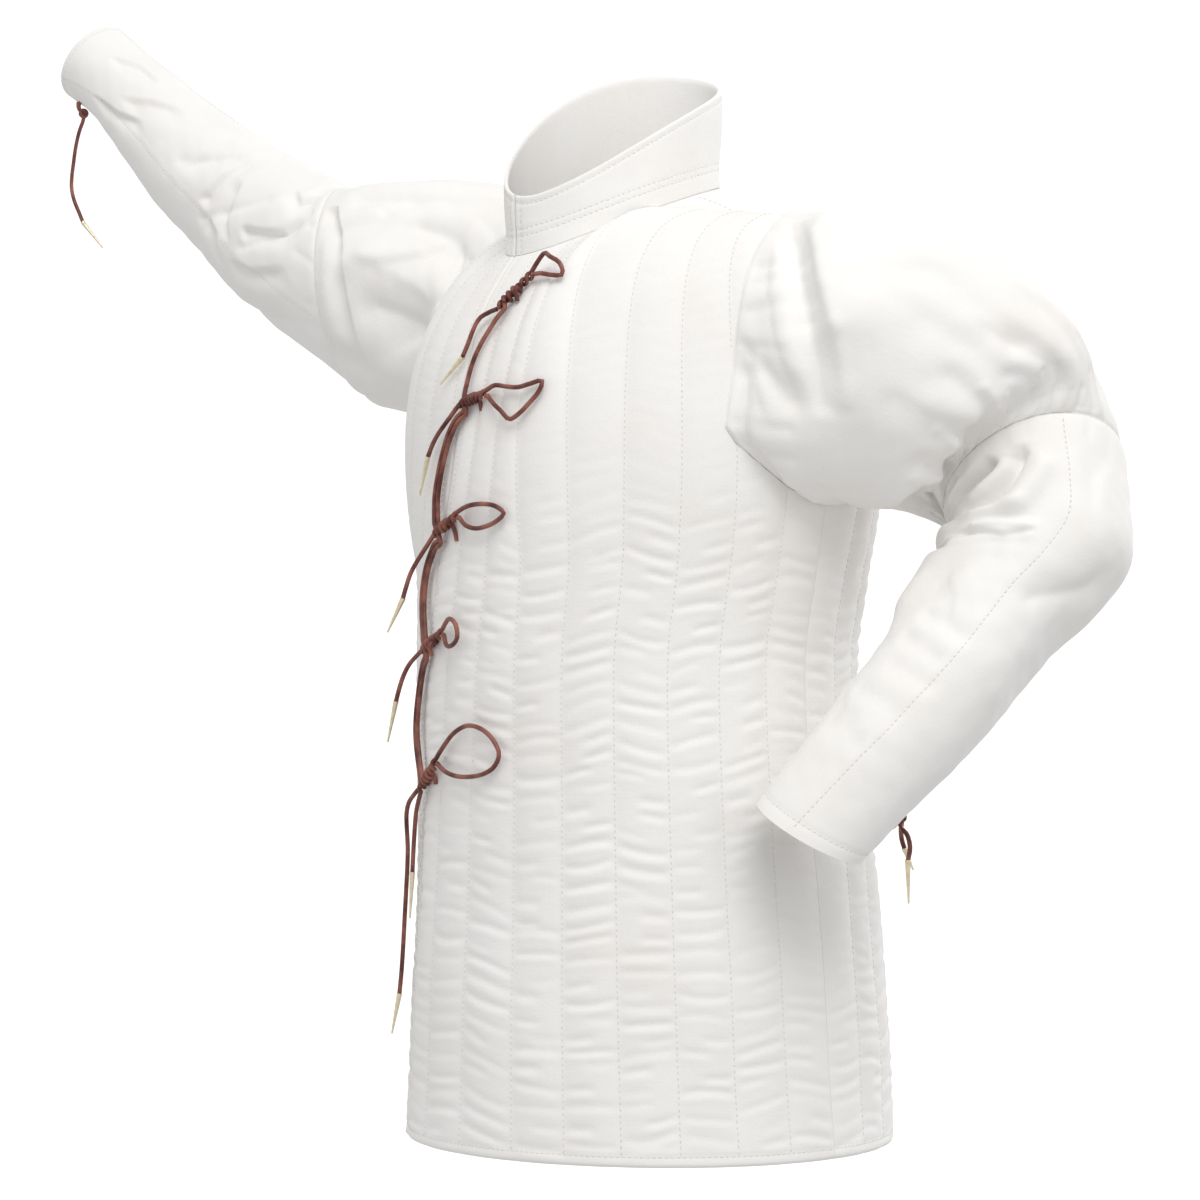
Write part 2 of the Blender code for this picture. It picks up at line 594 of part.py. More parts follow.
# ---- sleeves ---------------------------------------------------------------------------
def sleeve_frames(start, start_axes, rings, end_axis):
    """Middle, upward and sideward direction at each ring, turned as little as it takes."""
    middles = [start] + [Vector((r.x, r.y, r.z)) for r in rings]
    up = start_axes[0]
    frames = []
    for i in range(len(rings)):
        last = i == len(rings) - 1
        ahead = end_axis if last else (middles[i + 2] - middles[i]).normalized()
        up = (up - ahead * up.dot(ahead)).normalized()
        frames.append((middles[i + 1], up, up.cross(ahead)))
    return frames


def sleeve_base(start_ring, start, start_axes, rings, end_axis, count, per_ring):
    """Rings of points along a sleeve: smooth curves through the stations."""
    frames = sleeve_frames(start, start_axes, rings, end_axis)
    stations = [start_ring]
    for ring, (middle, up, side) in zip(rings, frames):
        points = []
        for k in range(count):
            a = 2.0 * math.pi * k / count
            points.append(middle + side * ring.side_radius * math.cos(a)
                          + up * ring.up_radius * math.sin(a))
        stations.append(points)
    grid = []
    steps = (len(stations) - 1) * per_ring
    for j in range(steps + 1):
        place = j / per_ring
        grid.append([through([s[k] for s in stations], min(place, len(stations) - 1 - 1e-9))
                     for k in range(count)])
    return grid, frames[-1]


def pushed_clear(point, tree, clearance):
    """The point, or the nearest place that is clear of the torso."""
    near, normal, _, _ = tree.find_nearest(point)
    out = (point - near).dot(normal)
    if out >= clearance:
        return point
    return near + normal * clearance


def ring_middle(ring):
    return sum(ring, Vector()) / len(ring)


def kept_beyond(rings, middle, axis):
    """Move the rings' points to their own side of a seam's plane, further at each ring."""
    for j, ring in enumerate(rings, 1):
        for k, point in enumerate(ring):
            short = ELBOW_STEP * j - (point - middle).dot(axis)
            if short > 0.0:
                ring[k] = point + axis * short


def settled_clear(grid, tree):
    """Push a sleeve's rings off the torso, and even out the stretch that was pushed."""
    count = len(grid[0])
    for settle in range(SETTLE_PASSES + 1):
        pushed = set()
        for j, ring in enumerate(grid[1:-1], 1):
            for k, point in enumerate(ring):
                ring[k] = pushed_clear(point, tree, min(0.0015 + 0.004 * j, 0.010))
                if ring[k] is not point:
                    pushed |= {(min(max(j + dj, 1), len(grid) - 2), (k + dk) % count)
                               for dj in (-2, -1, 0, 1, 2) for dk in (-2, -1, 0, 1, 2)}
        if settle == SETTLE_PASSES:
            break
        evened = {}
        for j, k in sorted(pushed):
            near = (grid[j - 1][k] + grid[j + 1][k] + grid[j][k - 1] + grid[j][(k + 1) % count])
            evened[j, k] = blend(grid[j][k], near / 4, 0.5)
        for (j, k), point in evened.items():
            grid[j][k] = point


def evened_along(grid, first, last):
    """Even out the rings' spacing along the sleeve, from ring first to ring last."""
    for _ in range(EVEN_PASSES):
        middles = {j: [blend(point, (grid[j - 1][k] + grid[j + 1][k]) / 2, 0.5)
                       for k, point in enumerate(grid[j])] for j in range(first, last + 1)}
        for j, ring in middles.items():
            grid[j] = ring


def sleeve_wall(grid, folds, ratio):
    """Outer and inner grid of a sleeve, folds and all; its ends lie flat on their seams."""
    last, count = len(grid) - 1, len(grid[0])
    middles = [ring_middle(ring) for ring in grid]
    length = sum((b - a).length for a, b in zip(middles, middles[1:]))
    girth = 2.0 * math.pi * sum((p - middles[0]).length for p in grid[0]) / count
    outer, inner = [], []
    for j, ring in enumerate(grid):
        middle = middles[j]
        out_row, in_row = [], []
        for k, point in enumerate(ring):
            if j in (0, last):
                off = (point - middle).normalized()
            else:
                around = grid[j][(k + 1) % count] - grid[j][k - 1]
                off = around.cross(grid[j + 1][k] - grid[j - 1][k]).normalized()
            lift = fold_height(folds, length, girth, j / last, k / count)
            face = point if j in (0, last) else point + off * lift
            out_row.append(face)
            if k % ratio == 0:
                in_row.append(face - off * SLEEVE_WALL)
        outer.append(out_row)
        inner.append(in_row)
    return outer, inner


def build_upper_sleeve(name, armhole, rings, end_axis, tree, folds, collection):
    """Gathered upper sleeve; also gives its last ring, for the lower sleeve to meet."""
    axes = armhole_axes(armhole)
    start = [p + armhole.outward * SEAM_GAP * 2 for p in seam_ring(armhole, tree, UPPER_POINTS)]
    grid, frame = sleeve_base(start, armhole.middle, axes, rings, end_axis, UPPER_POINTS, 3)
    settled_clear(grid, tree)
    kept_beyond(grid[-2:-5:-1], frame[0], -end_axis)
    evened_along(grid, 6, len(grid) - 2)
    outer, inner = sleeve_wall(grid, folds, 1)
    shell(name, outer, inner, 1, True, collection)
    return grid[-1], frame


def build_lower_sleeve(name, upper_end, frame, axes, rings, tree, folds, collection):
    """Fitted lower sleeve from the elbow seam to the open cuff."""
    middle, up, side = frame
    axis, end_axis = axes
    start = []
    for k in range(LOWER_POINTS):
        start.append(through(upper_end + upper_end[:2], k * UPPER_POINTS / LOWER_POINTS))
    start = [p + axis * SEAM_GAP for p in start]
    grid, _ = sleeve_base(start, middle, (up, side), rings, end_axis, LOWER_POINTS, 2)
    for ring in grid[1:]:
        for k, point in enumerate(ring):
            ring[k] = pushed_clear(point, tree, 0.003)
    kept_beyond(grid[1:4], middle, axis)
    outer, inner = sleeve_wall(grid, folds, 2)
    shell(name, outer, inner, 2, True, collection)
    return grid_tree(outer)


def grid_tree(grid):
    """Search tree of a sleeve's outer face."""
    count = len(grid[0])
    faces = []
    for r in range(len(grid) - 1):
        for i in range(count):
            j = (i + 1) % count
            faces.append((r * count + i, r * count + j, (r + 1) * count + j, (r + 1) * count + i))
    return BVHTree.FromPolygons([p for row in grid for p in row], faces)


def fold_height(folds, length, girth, along, around):
    """How far the folds lift a place of a sleeve; distances are taken in metres."""
    height = 0.0
    for fold in folds:
        reach = ((fold.along_1 - fold.along_0) * length, (fold.round_1 - fold.round_0) * girth)
        turn = (around - fold.round_0 + 0.5) % 1.0 - 0.5
        place = ((along - fold.along_0) * length, turn * girth)
        share = (place[0] * reach[0] + place[1] * reach[1]) / (reach[0] ** 2 + reach[1] ** 2)
        share = min(max(share, 0.0), 1.0)
        aside = math.hypot(place[0] - reach[0] * share, place[1] - reach[1] * share)
        height += fold.height * math.exp(-(aside / fold.width) ** 2)
    return height


# ---- collar ----------------------------------------------------------------------------
def neck_places():
    """Places round the neck seam, in channels, which the panels' columns share."""
    step = 1.0 / POINTS_PER_CHANNEL
    back_middle = LEFT_CHANNELS + BACK_CHANNELS / 2
    stretches = ((0.0, LEFT_NECK_CHANNELS),
                 (back_middle - BACK_NECK_CHANNELS + step, back_middle + BACK_NECK_CHANNELS),
                 (ALL_CHANNELS - RIGHT_NECK_CHANNELS + step, ALL_CHANNELS))
    places = []
    for first, last in stretches:
        places += [first + i * step for i in range(round((last - first) / step) + 1)]
    shift = edge_shift(0.0, 2.0, FRONT_GAP / 2)
    return [min(max(place, shift), ALL_CHANNELS - shift) for place in places]


def collar_point(around, share):
    """Outer face of the collar; share is 0 at the neck seam and 1 at the top edge."""
    base = yoke_top(around)[0]
    a = math.atan2(base.x / NECK_HALF_WIDTH, (NECK_MID_Y - base.y) / NECK_HALF_DEPTH)
    out = Vector((math.sin(a), -math.cos(a), 0.0))
    top = base + out * COLLAR_LEAN
    top.z = (COLLAR_TOP_MID - COLLAR_TOP_BACK * math.cos(a)
             - COLLAR_TOP_RIGHT * math.sin(a) + COLLAR_TOP_SIDES * math.sin(a) ** 2)
    return blend(base, top, share), out


def build_collar(collection):
    outer, inner = [], []
    for r in range(COLLAR_ROWS + 1):
        share = r / COLLAR_ROWS
        out_row, in_row = [], []
        for i, place in enumerate(neck_places()):
            face, out = collar_point(place, share)
            lining = face - out * COLLAR_WALL
            if r == 0:
                face = face + Vector((0.0, 0.0, COLLAR_LIFT))
                lining = face + yoke_top(place)[2] * COLLAR_WALL
            out_row.append(face)
            if i % LINING_RATIO == 0:
                in_row.append(lining)
        outer.append(out_row)
        inner.append(in_row)
    return shell("collar", outer, inner, LINING_RATIO, False, collection)


# ---- laces -----------------------------------------------------------------------------
def rise_at(around, height):
    """The rise at which a channel line passes a height."""
    low, high = 0.0, 2.0
    for _ in range(30):
        middle = (low + high) / 2
        if torso_form(around, middle).z < height:
            low = middle
        else:
            high = middle
    return (low + high) / 2


def on_front(across, height, lift):
    """Point off the fronts: metres to the wearer's left of the front edge, height, lift."""
    edge, step = (0.0, 0.25) if across >= 0 else (float(ALL_CHANNELS), -0.25)
    rise = rise_at(edge, height)
    around, left = edge, abs(across)
    here = torso_form(around, rise)
    while True:
        ahead = torso_form(around + step, rise)
        width = (ahead - here).length
        if width >= left:
            break
        around, here, left = around + step, ahead, left - width
    around += step * left / width
    rise = rise_at(around, height)
    return torso_form(around, rise) + torso_normal(around, rise) * lift


def smooth_route(points, step):
    """Points at even steps along the smooth curve through a route's own points."""
    fine = [through(points, i / 16) for i in range(16 * (len(points) - 1))] + [points[-1]]
    walked = [0.0]
    for a, b in zip(fine, fine[1:]):
        walked.append(walked[-1] + (b - a).length)
    count = max(round(walked[-1] / step), 3)
    route, k = [], 0
    for i in range(count + 1):
        goal = walked[-1] * i / count
        while k < len(walked) - 2 and walked[k + 1] < goal:
            k += 1
        share = (goal - walked[k]) / max(walked[k + 1] - walked[k], 1e-9)
        route.append(blend(fine[k], fine[k + 1], min(max(share, 0.0), 1.0)))
    return route


def tube(name, points, radii, finish, collection):
    """A round tube with flat ends along the points, one radius for each."""
    curve = bpy.data.curves.new(name, "CURVE")
    curve.dimensions = "3D"
    curve.bevel_depth = 1.0
    curve.bevel_resolution = 2
    curve.use_fill_caps = True
    spline = curve.splines.new("POLY")
    spline.points.add(len(points) - 1)
    for spot, point, radius in zip(spline.points, points, radii):
        spot.co = (*point, 1.0)
        spot.radius = radius
    curve.materials.append(finish_material(name, finish))
    obj = bpy.data.objects.new(name, curve)
    collection.objects.link(obj)
    return obj


def stand_off(point, way, face, reach):
    """The point moved off a face until a flat-ended tube's tilted rim clears it."""
    return point + face * (SEAM_GAP + reach * face.cross(way).length)


def beside(points, off, aside):
    """A line of points moved sideways on a surface whose way out is off."""
    last = len(points) - 1
    moved = []
    for i, point in enumerate(points):
        way = points[min(i + 1, last)] - points[max(i - 1, 0)]
        moved.append(point + way.cross(off).normalized() * aside)
    return moved


def lace(name, route, faces, collection, off=None, aside=0.0):
    """Lace along a route; faces are the ways off what its two ends meet, or None."""
    points = smooth_route(route, LACE_STEP)
    if off is not None:
        points = beside(points, off, aside)
    if faces[0] is not None:
        way = (points[1] - points[0]).normalized()
        points[0] = stand_off(points[0], way, faces[0], LACE / 2 + abs(aside))
    if faces[1] is not None:
        way = (points[-2] - points[-1]).normalized()
        points[-1] = stand_off(points[-1], way, faces[1], LACE / 2 + abs(aside))
    tube(name, points, [LACE / 2] * len(points), LEATHER, collection)
    return points


def aiglet(name, lace_points, tip, collection):
    """Brass cone rolled onto the end of a lace."""
    end = lace_points[-1]
    face = (end - lace_points[-2]).normalized()
    start = stand_off(end, (tip - end).normalized(), face, AIGLET_MOUTH / 2)
    points = [start, blend(start, tip, 0.12), tip]
    radii = [AIGLET_MOUTH / 2, AIGLET_MOUTH / 2, AIGLET_TIP / 2]
    return tube(name, points, radii, BRASS, collection)


def knot_frame(tie, tree):
    """A knot's two ends, seated on the cloth, and the ways along, across and off it."""
    edge_end, loop_end = on_front(*tie.edge_end), on_front(*tie.loop_end)
    along = (loop_end - edge_end).normalized()
    off = edge_end - on_front(tie.edge_end[0], tie.edge_end[1], 0.0)
    off = (off - along * off.dot(along)).normalized()
    stations = [blend(edge_end, loop_end, share / 8) for share in range(9)]
    spare = min(tree.find_nearest(point)[3] for point in stations) - KNOT / 2 - SEAM_GAP
    return edge_end - off * spare, loop_end - off * spare, along, along.cross(off), off


def build_tie(number, tie, tree, collection):
    """Knot, loop, ends and the run down to the next tie."""
    edge_end, loop_end, along, across, off = knot_frame(tie, tree)
    name = "tie_%d_" % number
    middle = blend(edge_end, loop_end, 0.5)
    tube(name + "knot", [edge_end, blend(edge_end, middle, 0.4), middle,
                         blend(loop_end, middle, 0.4), loop_end],
         [KNOT * 0.42, KNOT / 2, KNOT * 0.46, KNOT / 2, KNOT * 0.42], LEATHER, collection)

    route = [loop_end - across * BESIDE / 2]
    route += [on_front(*place) for place in tie.loop]
    route.append(loop_end + across * BESIDE / 2)
    lace(name + "loop", route, (along, along), collection)

    ends = [("short", tie.short, tie.short_tip, 0.0)]
    if number == len(TIES):
        ends = [("short", tie.short, tie.short_tip, 0.5), ("long", LONG_END, LONG_END_TIP, -0.5)]
    for end_name, places, tip, slot in ends:
        route = [edge_end + across * BESIDE * slot] + [on_front(*place) for place in places]
        points = lace(name + end_name, route, (-along, None), collection)
        aiglet(name + end_name + "_aiglet", points, on_front(*tip), collection)

    for strand in range(tie.run_strands):
        next_end, _, next_along, next_across, _ = knot_frame(TIES[number], tree)
        aside = (strand - 0.5 * (tie.run_strands - 1)) * BESIDE
        route = [edge_end + along * RUN_INSET + across * KNOT / 2]
        route += [on_front(*place) for place in tie.run]
        route.append(next_end + next_along * RUN_INSET - next_across * KNOT / 2)
        lace(name + "run_%d" % (strand + 1), route, (across, -next_across), collection, off,
             aside)


def build_cuff_tie(tie, sleeve_tree, collection):
    """Short lace knotted through a cuff's eyelet."""
    seats = [sleeve_tree.find_nearest(Vector(place)) for place in tie.knot]
    top, low = [seat[0] + seat[1] * (KNOT / 2 + SEAM_GAP) for seat in seats]
    along = (low - top).normalized()
    along = along if along.x > 0.0 else -along
    middle = blend(top, low, 0.5)
    tube(tie.name + "knot", [top, middle, low], [KNOT * 0.40, KNOT / 2, KNOT * 0.42], LEATHER,
         collection)
    down = Vector((0.0, 0.0, -1.0))
    down = (down - along * down.dot(along)).normalized()
    for number, (places, tip) in enumerate(zip(tie.ends, tie.tips)):
        slot = 0.5 * (len(tie.ends) - 1) - number
        route = [middle + along * CUFF_BESIDE * slot + down * KNOT / 2]
        route += [pushed_clear(Vector(p), sleeve_tree, LACE / 2 + SEAM_GAP) for p in places]
        name = tie.name + "end_%d" % (number + 1)
        points = lace(name, route, (down, None), collection)
        aiglet(name + "_aiglet", points, Vector(tip), collection)


def main():
    for obj in list(bpy.data.objects):
        bpy.data.objects.remove(obj, do_unlink=True)
    parts = bpy.data.collections.new("gambeson")
    cutters = bpy.data.collections.new("cutters")
    bpy.context.scene.collection.children.link(parts)
    bpy.context.scene.collection.children.link(cutters)
    tree = form_tree()

    left_cut = armhole_cutter("left_armhole_cut", LEFT_ARMHOLE, cutters)
    right_cut = armhole_cutter("right_armhole_cut", RIGHT_ARMHOLE, cutters)
    left = build_panel("left_front", 0, LEFT_CHANNELS, (FRONT_GAP, SEAM_GAP), parts)
    back = build_panel("back", LEFT_CHANNELS, BACK_END, (SEAM_GAP, SEAM_GAP), parts)
    right = build_panel("right_front", BACK_END, ALL_CHANNELS, (SEAM_GAP, FRONT_GAP), parts)
    cut(left, left_cut)
    cut(back, left_cut)
    cut(back, right_cut)
    cut(right, right_cut)

    build_collar(parts)
    sleeve_trees = []
    for side, armhole, upper, lower, axes, folds in (
            ("left", LEFT_ARMHOLE, LEFT_UPPER, LEFT_LOWER, (LEFT_ELBOW_AXIS, LEFT_CUFF_AXIS),
             (LEFT_UPPER_FOLDS, LEFT_LOWER_FOLDS)),
            ("right", RIGHT_ARMHOLE, RIGHT_UPPER, RIGHT_LOWER,
             (RIGHT_ELBOW_AXIS, RIGHT_CUFF_AXIS), (RIGHT_UPPER_FOLDS, RIGHT_LOWER_FOLDS))):
        end, frame = build_upper_sleeve(side + "_upper_sleeve", armhole, upper, axes[0], tree,
                                        folds[0], parts)
        sleeve_trees.append(build_lower_sleeve(side + "_lower_sleeve", end, frame, axes, lower,
                                               tree, folds[1], parts))
    for number, tie in enumerate(TIES, 1):
        build_tie(number, tie, tree, parts)
    for tie, sleeve_tree in zip(CUFF_TIES, sleeve_trees):
        build_cuff_tie(tie, sleeve_tree, parts)


if __name__ == "__main__":
    main()
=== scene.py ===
# %% [markdown]
# # A quilted arming coat
# A gambeson is a padded coat of heavy off-white cotton.  Its body is sewn in upright channels,
# its upper sleeves are full and gathered into fitted lower sleeves, and leather laces tie the
# front and the cuffs.  This lesson dresses the plain solids of the coat in fine cloth, sewing,
# laces and brass tips.  The solids come first, as a fixed frame, and each fine piece repeats
# the functions that shaped its solid, so that it lies exactly where the solid is.

# %% Load the frame
import math
import random
from collections import namedtuple
from functools import lru_cache

import bmesh
import bpy
import numpy as np
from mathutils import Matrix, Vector, noise
from mathutils.bvhtree import BVHTree


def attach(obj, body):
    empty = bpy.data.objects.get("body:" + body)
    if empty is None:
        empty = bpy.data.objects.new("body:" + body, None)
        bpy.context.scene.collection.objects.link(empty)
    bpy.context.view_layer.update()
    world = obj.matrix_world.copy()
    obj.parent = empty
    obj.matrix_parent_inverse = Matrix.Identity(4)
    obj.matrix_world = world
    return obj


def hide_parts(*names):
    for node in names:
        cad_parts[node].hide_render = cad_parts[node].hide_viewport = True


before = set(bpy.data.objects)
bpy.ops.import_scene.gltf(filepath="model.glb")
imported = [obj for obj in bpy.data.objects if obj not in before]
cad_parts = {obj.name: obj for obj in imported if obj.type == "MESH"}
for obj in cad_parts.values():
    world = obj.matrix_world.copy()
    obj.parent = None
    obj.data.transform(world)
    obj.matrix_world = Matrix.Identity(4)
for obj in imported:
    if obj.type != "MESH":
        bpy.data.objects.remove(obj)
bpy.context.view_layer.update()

scene = bpy.context.scene

# %% [markdown]
# ## The camera
# The coat is seen from a little to the left of its front, from far off and with a long lens,
# so that the near arm hardly grows against the far one.  The lens looks up by a degree or two,
# from about the height of the waist.

# %% Camera
def linked(name, data):
    """A new object of a mesh, curve, lamp or camera, in the scene."""
    piece = bpy.data.objects.new(name, data)
    scene.collection.objects.link(piece)
    return piece


VIEW_AZIMUTH, CAMERA_PITCH = math.radians(58.0), math.radians(1.67)
CAMERA_DISTANCE, CAMERA_HEIGHT, CAMERA_ASIDE = 3.0, -0.427, -0.038
LENS, SENSOR = 103.0, 36.0

view_right = Vector((math.cos(VIEW_AZIMUTH), math.sin(VIEW_AZIMUTH), 0.0))
view_ahead = Vector((-math.sin(VIEW_AZIMUTH), math.cos(VIEW_AZIMUTH), 0.0))
camera = linked("camera", bpy.data.cameras.new("camera"))
camera.data.lens, camera.data.sensor_width = LENS, SENSOR
camera.location = (view_right * CAMERA_ASIDE - view_ahead * CAMERA_DISTANCE
                   + Vector((0.0, 0.0, CAMERA_HEIGHT)))
camera.rotation_euler = (math.radians(90.0) + CAMERA_PITCH, 0.0, VIEW_AZIMUTH)
scene.camera = camera
print("camera at", tuple(round(c, 3) for c in camera.location))

# %% [markdown]
# ## The coat's sizes
# These are the maker's measures of the coat: the same sections, seams, rings and lace places
# as the solids have.  They are in metres and degrees, except in the tables of folds, puckers
# and laces, which say their own units.  A table has one row for each section, ring, fold or tie.

# %% Sizes of the body
def scaled(table, unit):
    """A table of whole numbers, such as millimetres, as shares of a unit."""
    if isinstance(table, tuple):
        return tuple(scaled(value, unit) for value in table)
    return table / unit


SEAM_GAP, FRONT_GAP = 0.0003, 0.0020
QUILT_RISE = 0.0050                                # how far a channel stands up
WALL_CREST, WALL_TOP, SLEEVE_WALL, COLLAR_WALL = 0.0080, 0.0060, 0.0030, 0.0045
CHEST_HEIGHT = -0.280
LEFT_CHANNELS, BACK_CHANNELS, RIGHT_CHANNELS = 9, 11, 8
BACK_END = LEFT_CHANNELS + BACK_CHANNELS
ALL_CHANNELS = BACK_END + RIGHT_CHANNELS
CHANNEL_ANGLE = 13.2
LOOSE_CHANNELS = 3
SOLID_PROFILE = (0.0, 0.78, 1.0, 0.78)
SOLID_RISES = [r / 8 for r in range(17)]

Section = namedtuple(
    "Section", "height half_width half_depth mid_x mid_y front_edge left_seam right_seam")
TRUNK = [Section(*row) for row in (
    (-0.805, 0.2240, 0.2075, 0.0, 0.005, -26.0, 102.0, 236.0),
    (-0.693, 0.2200, 0.2035, 0.0, 0.005, -25.0, 101.0, 238.0),
    (-0.570, 0.2110, 0.1960, 0.0, 0.002, -23.0, 101.0, 242.0),
    (-0.471, 0.2050, 0.1910, 0.0, -0.004, -19.0, 102.0, 247.0),
    (-0.388, 0.2025, 0.1900, 0.0, -0.007, -13.5, 103.0, 252.0),
    (-0.315, 0.2120, 0.1930, 0.0, -0.002, -8.0, 103.0, 256.0),
    (CHEST_HEIGHT, 0.2220, 0.1965, -0.004, 0.001, -3.0, 102.5, 258.0))]
NECK_HALF_WIDTH, NECK_HALF_DEPTH = 0.075, 0.100
NECK_MID_Y, NECK_MID_Z = -0.031, -0.010
NECK_RISE_BACK, NECK_RISE_SIDES, NECK_RISE_RIGHT = 0.037, 0.009, 0.005
NECK_SLOPE, NECK_TURN = 1.1, 0.35
LEFT_SHOULDER_TIP = Vector((0.190, 0.012, -0.022))
RIGHT_SHOULDER_TIP = Vector((-0.185, 0.010, 0.008))
SHOULDER_OVERRUN = 0.14
LEFT_NECK_CHANNELS, RIGHT_NECK_CHANNELS, BACK_NECK_CHANNELS = 4.0, 4.0, 2.0
COLLAR_TOP_MID, COLLAR_TOP_BACK = 0.064, 0.058
COLLAR_TOP_SIDES, COLLAR_TOP_RIGHT = 0.020, 0.024
COLLAR_LEAN, COLLAR_LIFT = 0.002, 0.0005

# %% Sizes of the sleeves
Armhole = namedtuple("Armhole", "middle outward scoop_depth scoop_width")
ARMHOLE_TOP, ARMHOLE_CUT, SCOOP_STEPS, SCOOP_GAP = 0.19, 0.11, 24, 0.0008
Ring = namedtuple("Ring", "x y z up_radius side_radius")
Arm = namedtuple("Arm", "side armhole upper lower elbow_axis cuff_axis")


def rings(*rows):
    """A sleeve part's rings, from one row of measures each."""
    return [Ring(*row) for row in rows]


ARMS = (
    Arm("left", Armhole(Vector((0.182, 0.040, -0.142)),
                        Vector((0.95, 0.31, -0.04)).normalized(), 0.120, 0.118),
        rings((0.2373, 0.0494, -0.1456, 0.122, 0.090),
              (0.2620, 0.1079, -0.1586, 0.119, 0.090),
              (0.2830, 0.1690, -0.1930, 0.110, 0.092),
              (0.2830, 0.2060, -0.2431, 0.078, 0.076)),
        rings((0.3067, 0.1930, -0.3010, 0.078, 0.072),
              (0.3060, 0.1480, -0.3530, 0.062, 0.062),
              (0.3030, 0.0980, -0.4080, 0.058, 0.058),
              (0.2870, 0.0400, -0.4700, 0.053, 0.052),
              (0.2660, -0.0120, -0.5330, 0.050, 0.046)),
        Vector((0.675, -0.133, -0.728)).normalized(),
        Vector((-0.408, -0.276, -0.860)).normalized()),
    Arm("right", Armhole(Vector((-0.186, 0.028, -0.110)),
                         Vector((-0.96, -0.02, 0.26)).normalized(), 0.120, 0.130),
        rings((-0.2450, 0.0080, -0.0660, 0.118, 0.105),
              (-0.3142, -0.0272, -0.0443, 0.113, 0.105),
              (-0.3720, -0.0580, -0.0370, 0.110, 0.102),
              (-0.4060, -0.0730, -0.0300, 0.094, 0.088)),
        rings((-0.4710, -0.0988, 0.0156, 0.077, 0.074),
              (-0.5360, -0.1250, 0.0650, 0.065, 0.064),
              (-0.5984, -0.1501, 0.1132, 0.057, 0.057),
              (-0.6880, -0.1810, 0.1930, 0.042, 0.045),
              (-0.7350, -0.1980, 0.2290, 0.043, 0.045)),
        Vector((-0.750, -0.640, -0.080)).normalized(),
        Vector((-0.700, -0.350, 0.560)).normalized()))
UPPER_POINTS, LOWER_POINTS = 48, 32
ELBOW_STEP, SETTLE_PASSES, EVEN_PASSES = 0.003, 16, 4

# %% [markdown]
# ## Drawing smooth forms from few measures
# A curve through a few points is enough for cloth: the eye reads the line, not the points.
# These helpers blend, ease and draw curves, and the body's form is worked out from them.

# %% Curve helpers
def blend(low, high, share):
    return low + (high - low) * share


def smooth(share):
    share = min(max(share, 0.0), 1.0)
    return share * share * (3.0 - 2.0 * share)


def soft_step(values, low, high):
    """The same easing for a whole array, from 0 at low to 1 at high."""
    share = np.clip((values - low) / (high - low), 0.0, 1.0)
    return share * share * (3.0 - 2.0 * share)


def bezier(p0, p1, p2, p3, s):
    r = 1.0 - s
    return p0 * r ** 3 + p1 * 3 * r * r * s + p2 * 3 * r * s * s + p3 * s ** 3


def through(points, place):
    """Smooth curve through the points; place runs from 0 to len(points) - 1."""
    last = len(points) - 1
    i = min(int(place), last - 1)
    s = place - i
    p1, p2 = points[i], points[i + 1]
    p0 = points[i - 1] if i > 0 else p1 * 2 - p2
    p3 = points[i + 2] if i + 2 <= last else p2 * 2 - p1
    return (p1 * 2 + (p2 - p0) * s + (p0 * 2 - p1 * 5 + p2 * 4 - p3) * s * s
            + (p1 * 3 - p0 - p2 * 3 + p3) * s ** 3) * 0.5


def looped(grid, closed):
    """The grid with its first column once more at its end, where it runs all the way round."""
    return np.concatenate([grid, grid[:, :1]], axis=1) if closed else grid


def cells(grid):
    """The four corners of every cell of a grid, in turn."""
    return grid[:-1, :-1], grid[:-1, 1:], grid[1:, 1:], grid[1:, :-1]


def search_tree(grids, closed=False):
    """A tree that finds the nearest place on the faces of some grids."""
    points, faces = [], []
    for grid in grids:
        ids = len(points) + np.arange(grid.shape[0] * grid.shape[1]).reshape(grid.shape[:2])
        points += grid.reshape(-1, 3).tolist()
        faces += np.stack(cells(looped(ids, closed)), axis=2).reshape(-1, 4).tolist()
    return BVHTree.FromPolygons(points, faces)


@lru_cache(maxsize=None)
def section_at(height):
    i = 0
    while i < len(TRUNK) - 2 and height > TRUNK[i + 1].height:
        i += 1
    place = i + (height - TRUNK[i].height) / (TRUNK[i + 1].height - TRUNK[i].height)
    return Section(*[through(column, place) for column in zip(*TRUNK)])


# %% The body's form
def girth_angle(around, section):
    """Angle from the front of a place counted in channels: 0 is the left front's edge."""
    if around < LOOSE_CHANNELS:
        steady = (LEFT_CHANNELS - LOOSE_CHANNELS) * CHANNEL_ANGLE
        return blend(section.front_edge, section.left_seam - steady, around / LOOSE_CHANNELS)
    if around <= LEFT_CHANNELS:
        return section.left_seam - (LEFT_CHANNELS - around) * CHANNEL_ANGLE
    if around <= BACK_END:
        share = (around - LEFT_CHANNELS) / BACK_CHANNELS
        return blend(section.left_seam, section.right_seam, share)
    share = (around - BACK_END) / RIGHT_CHANNELS
    return blend(section.right_seam, section.front_edge + 360.0, share)


def trunk_point(around, height):
    section = section_at(height)
    angle = math.radians(girth_angle(around, section))
    return Vector((section.mid_x + section.half_width * math.sin(angle),
                   section.mid_y - section.half_depth * math.cos(angle), height))


def neck_point(angle):
    a = math.radians(angle)
    return Vector((NECK_HALF_WIDTH * math.sin(a), NECK_MID_Y - NECK_HALF_DEPTH * math.cos(a),
                   NECK_MID_Z - NECK_RISE_BACK * math.cos(a) - NECK_RISE_RIGHT * math.sin(a)
                   + NECK_RISE_SIDES * math.sin(a) ** 2))


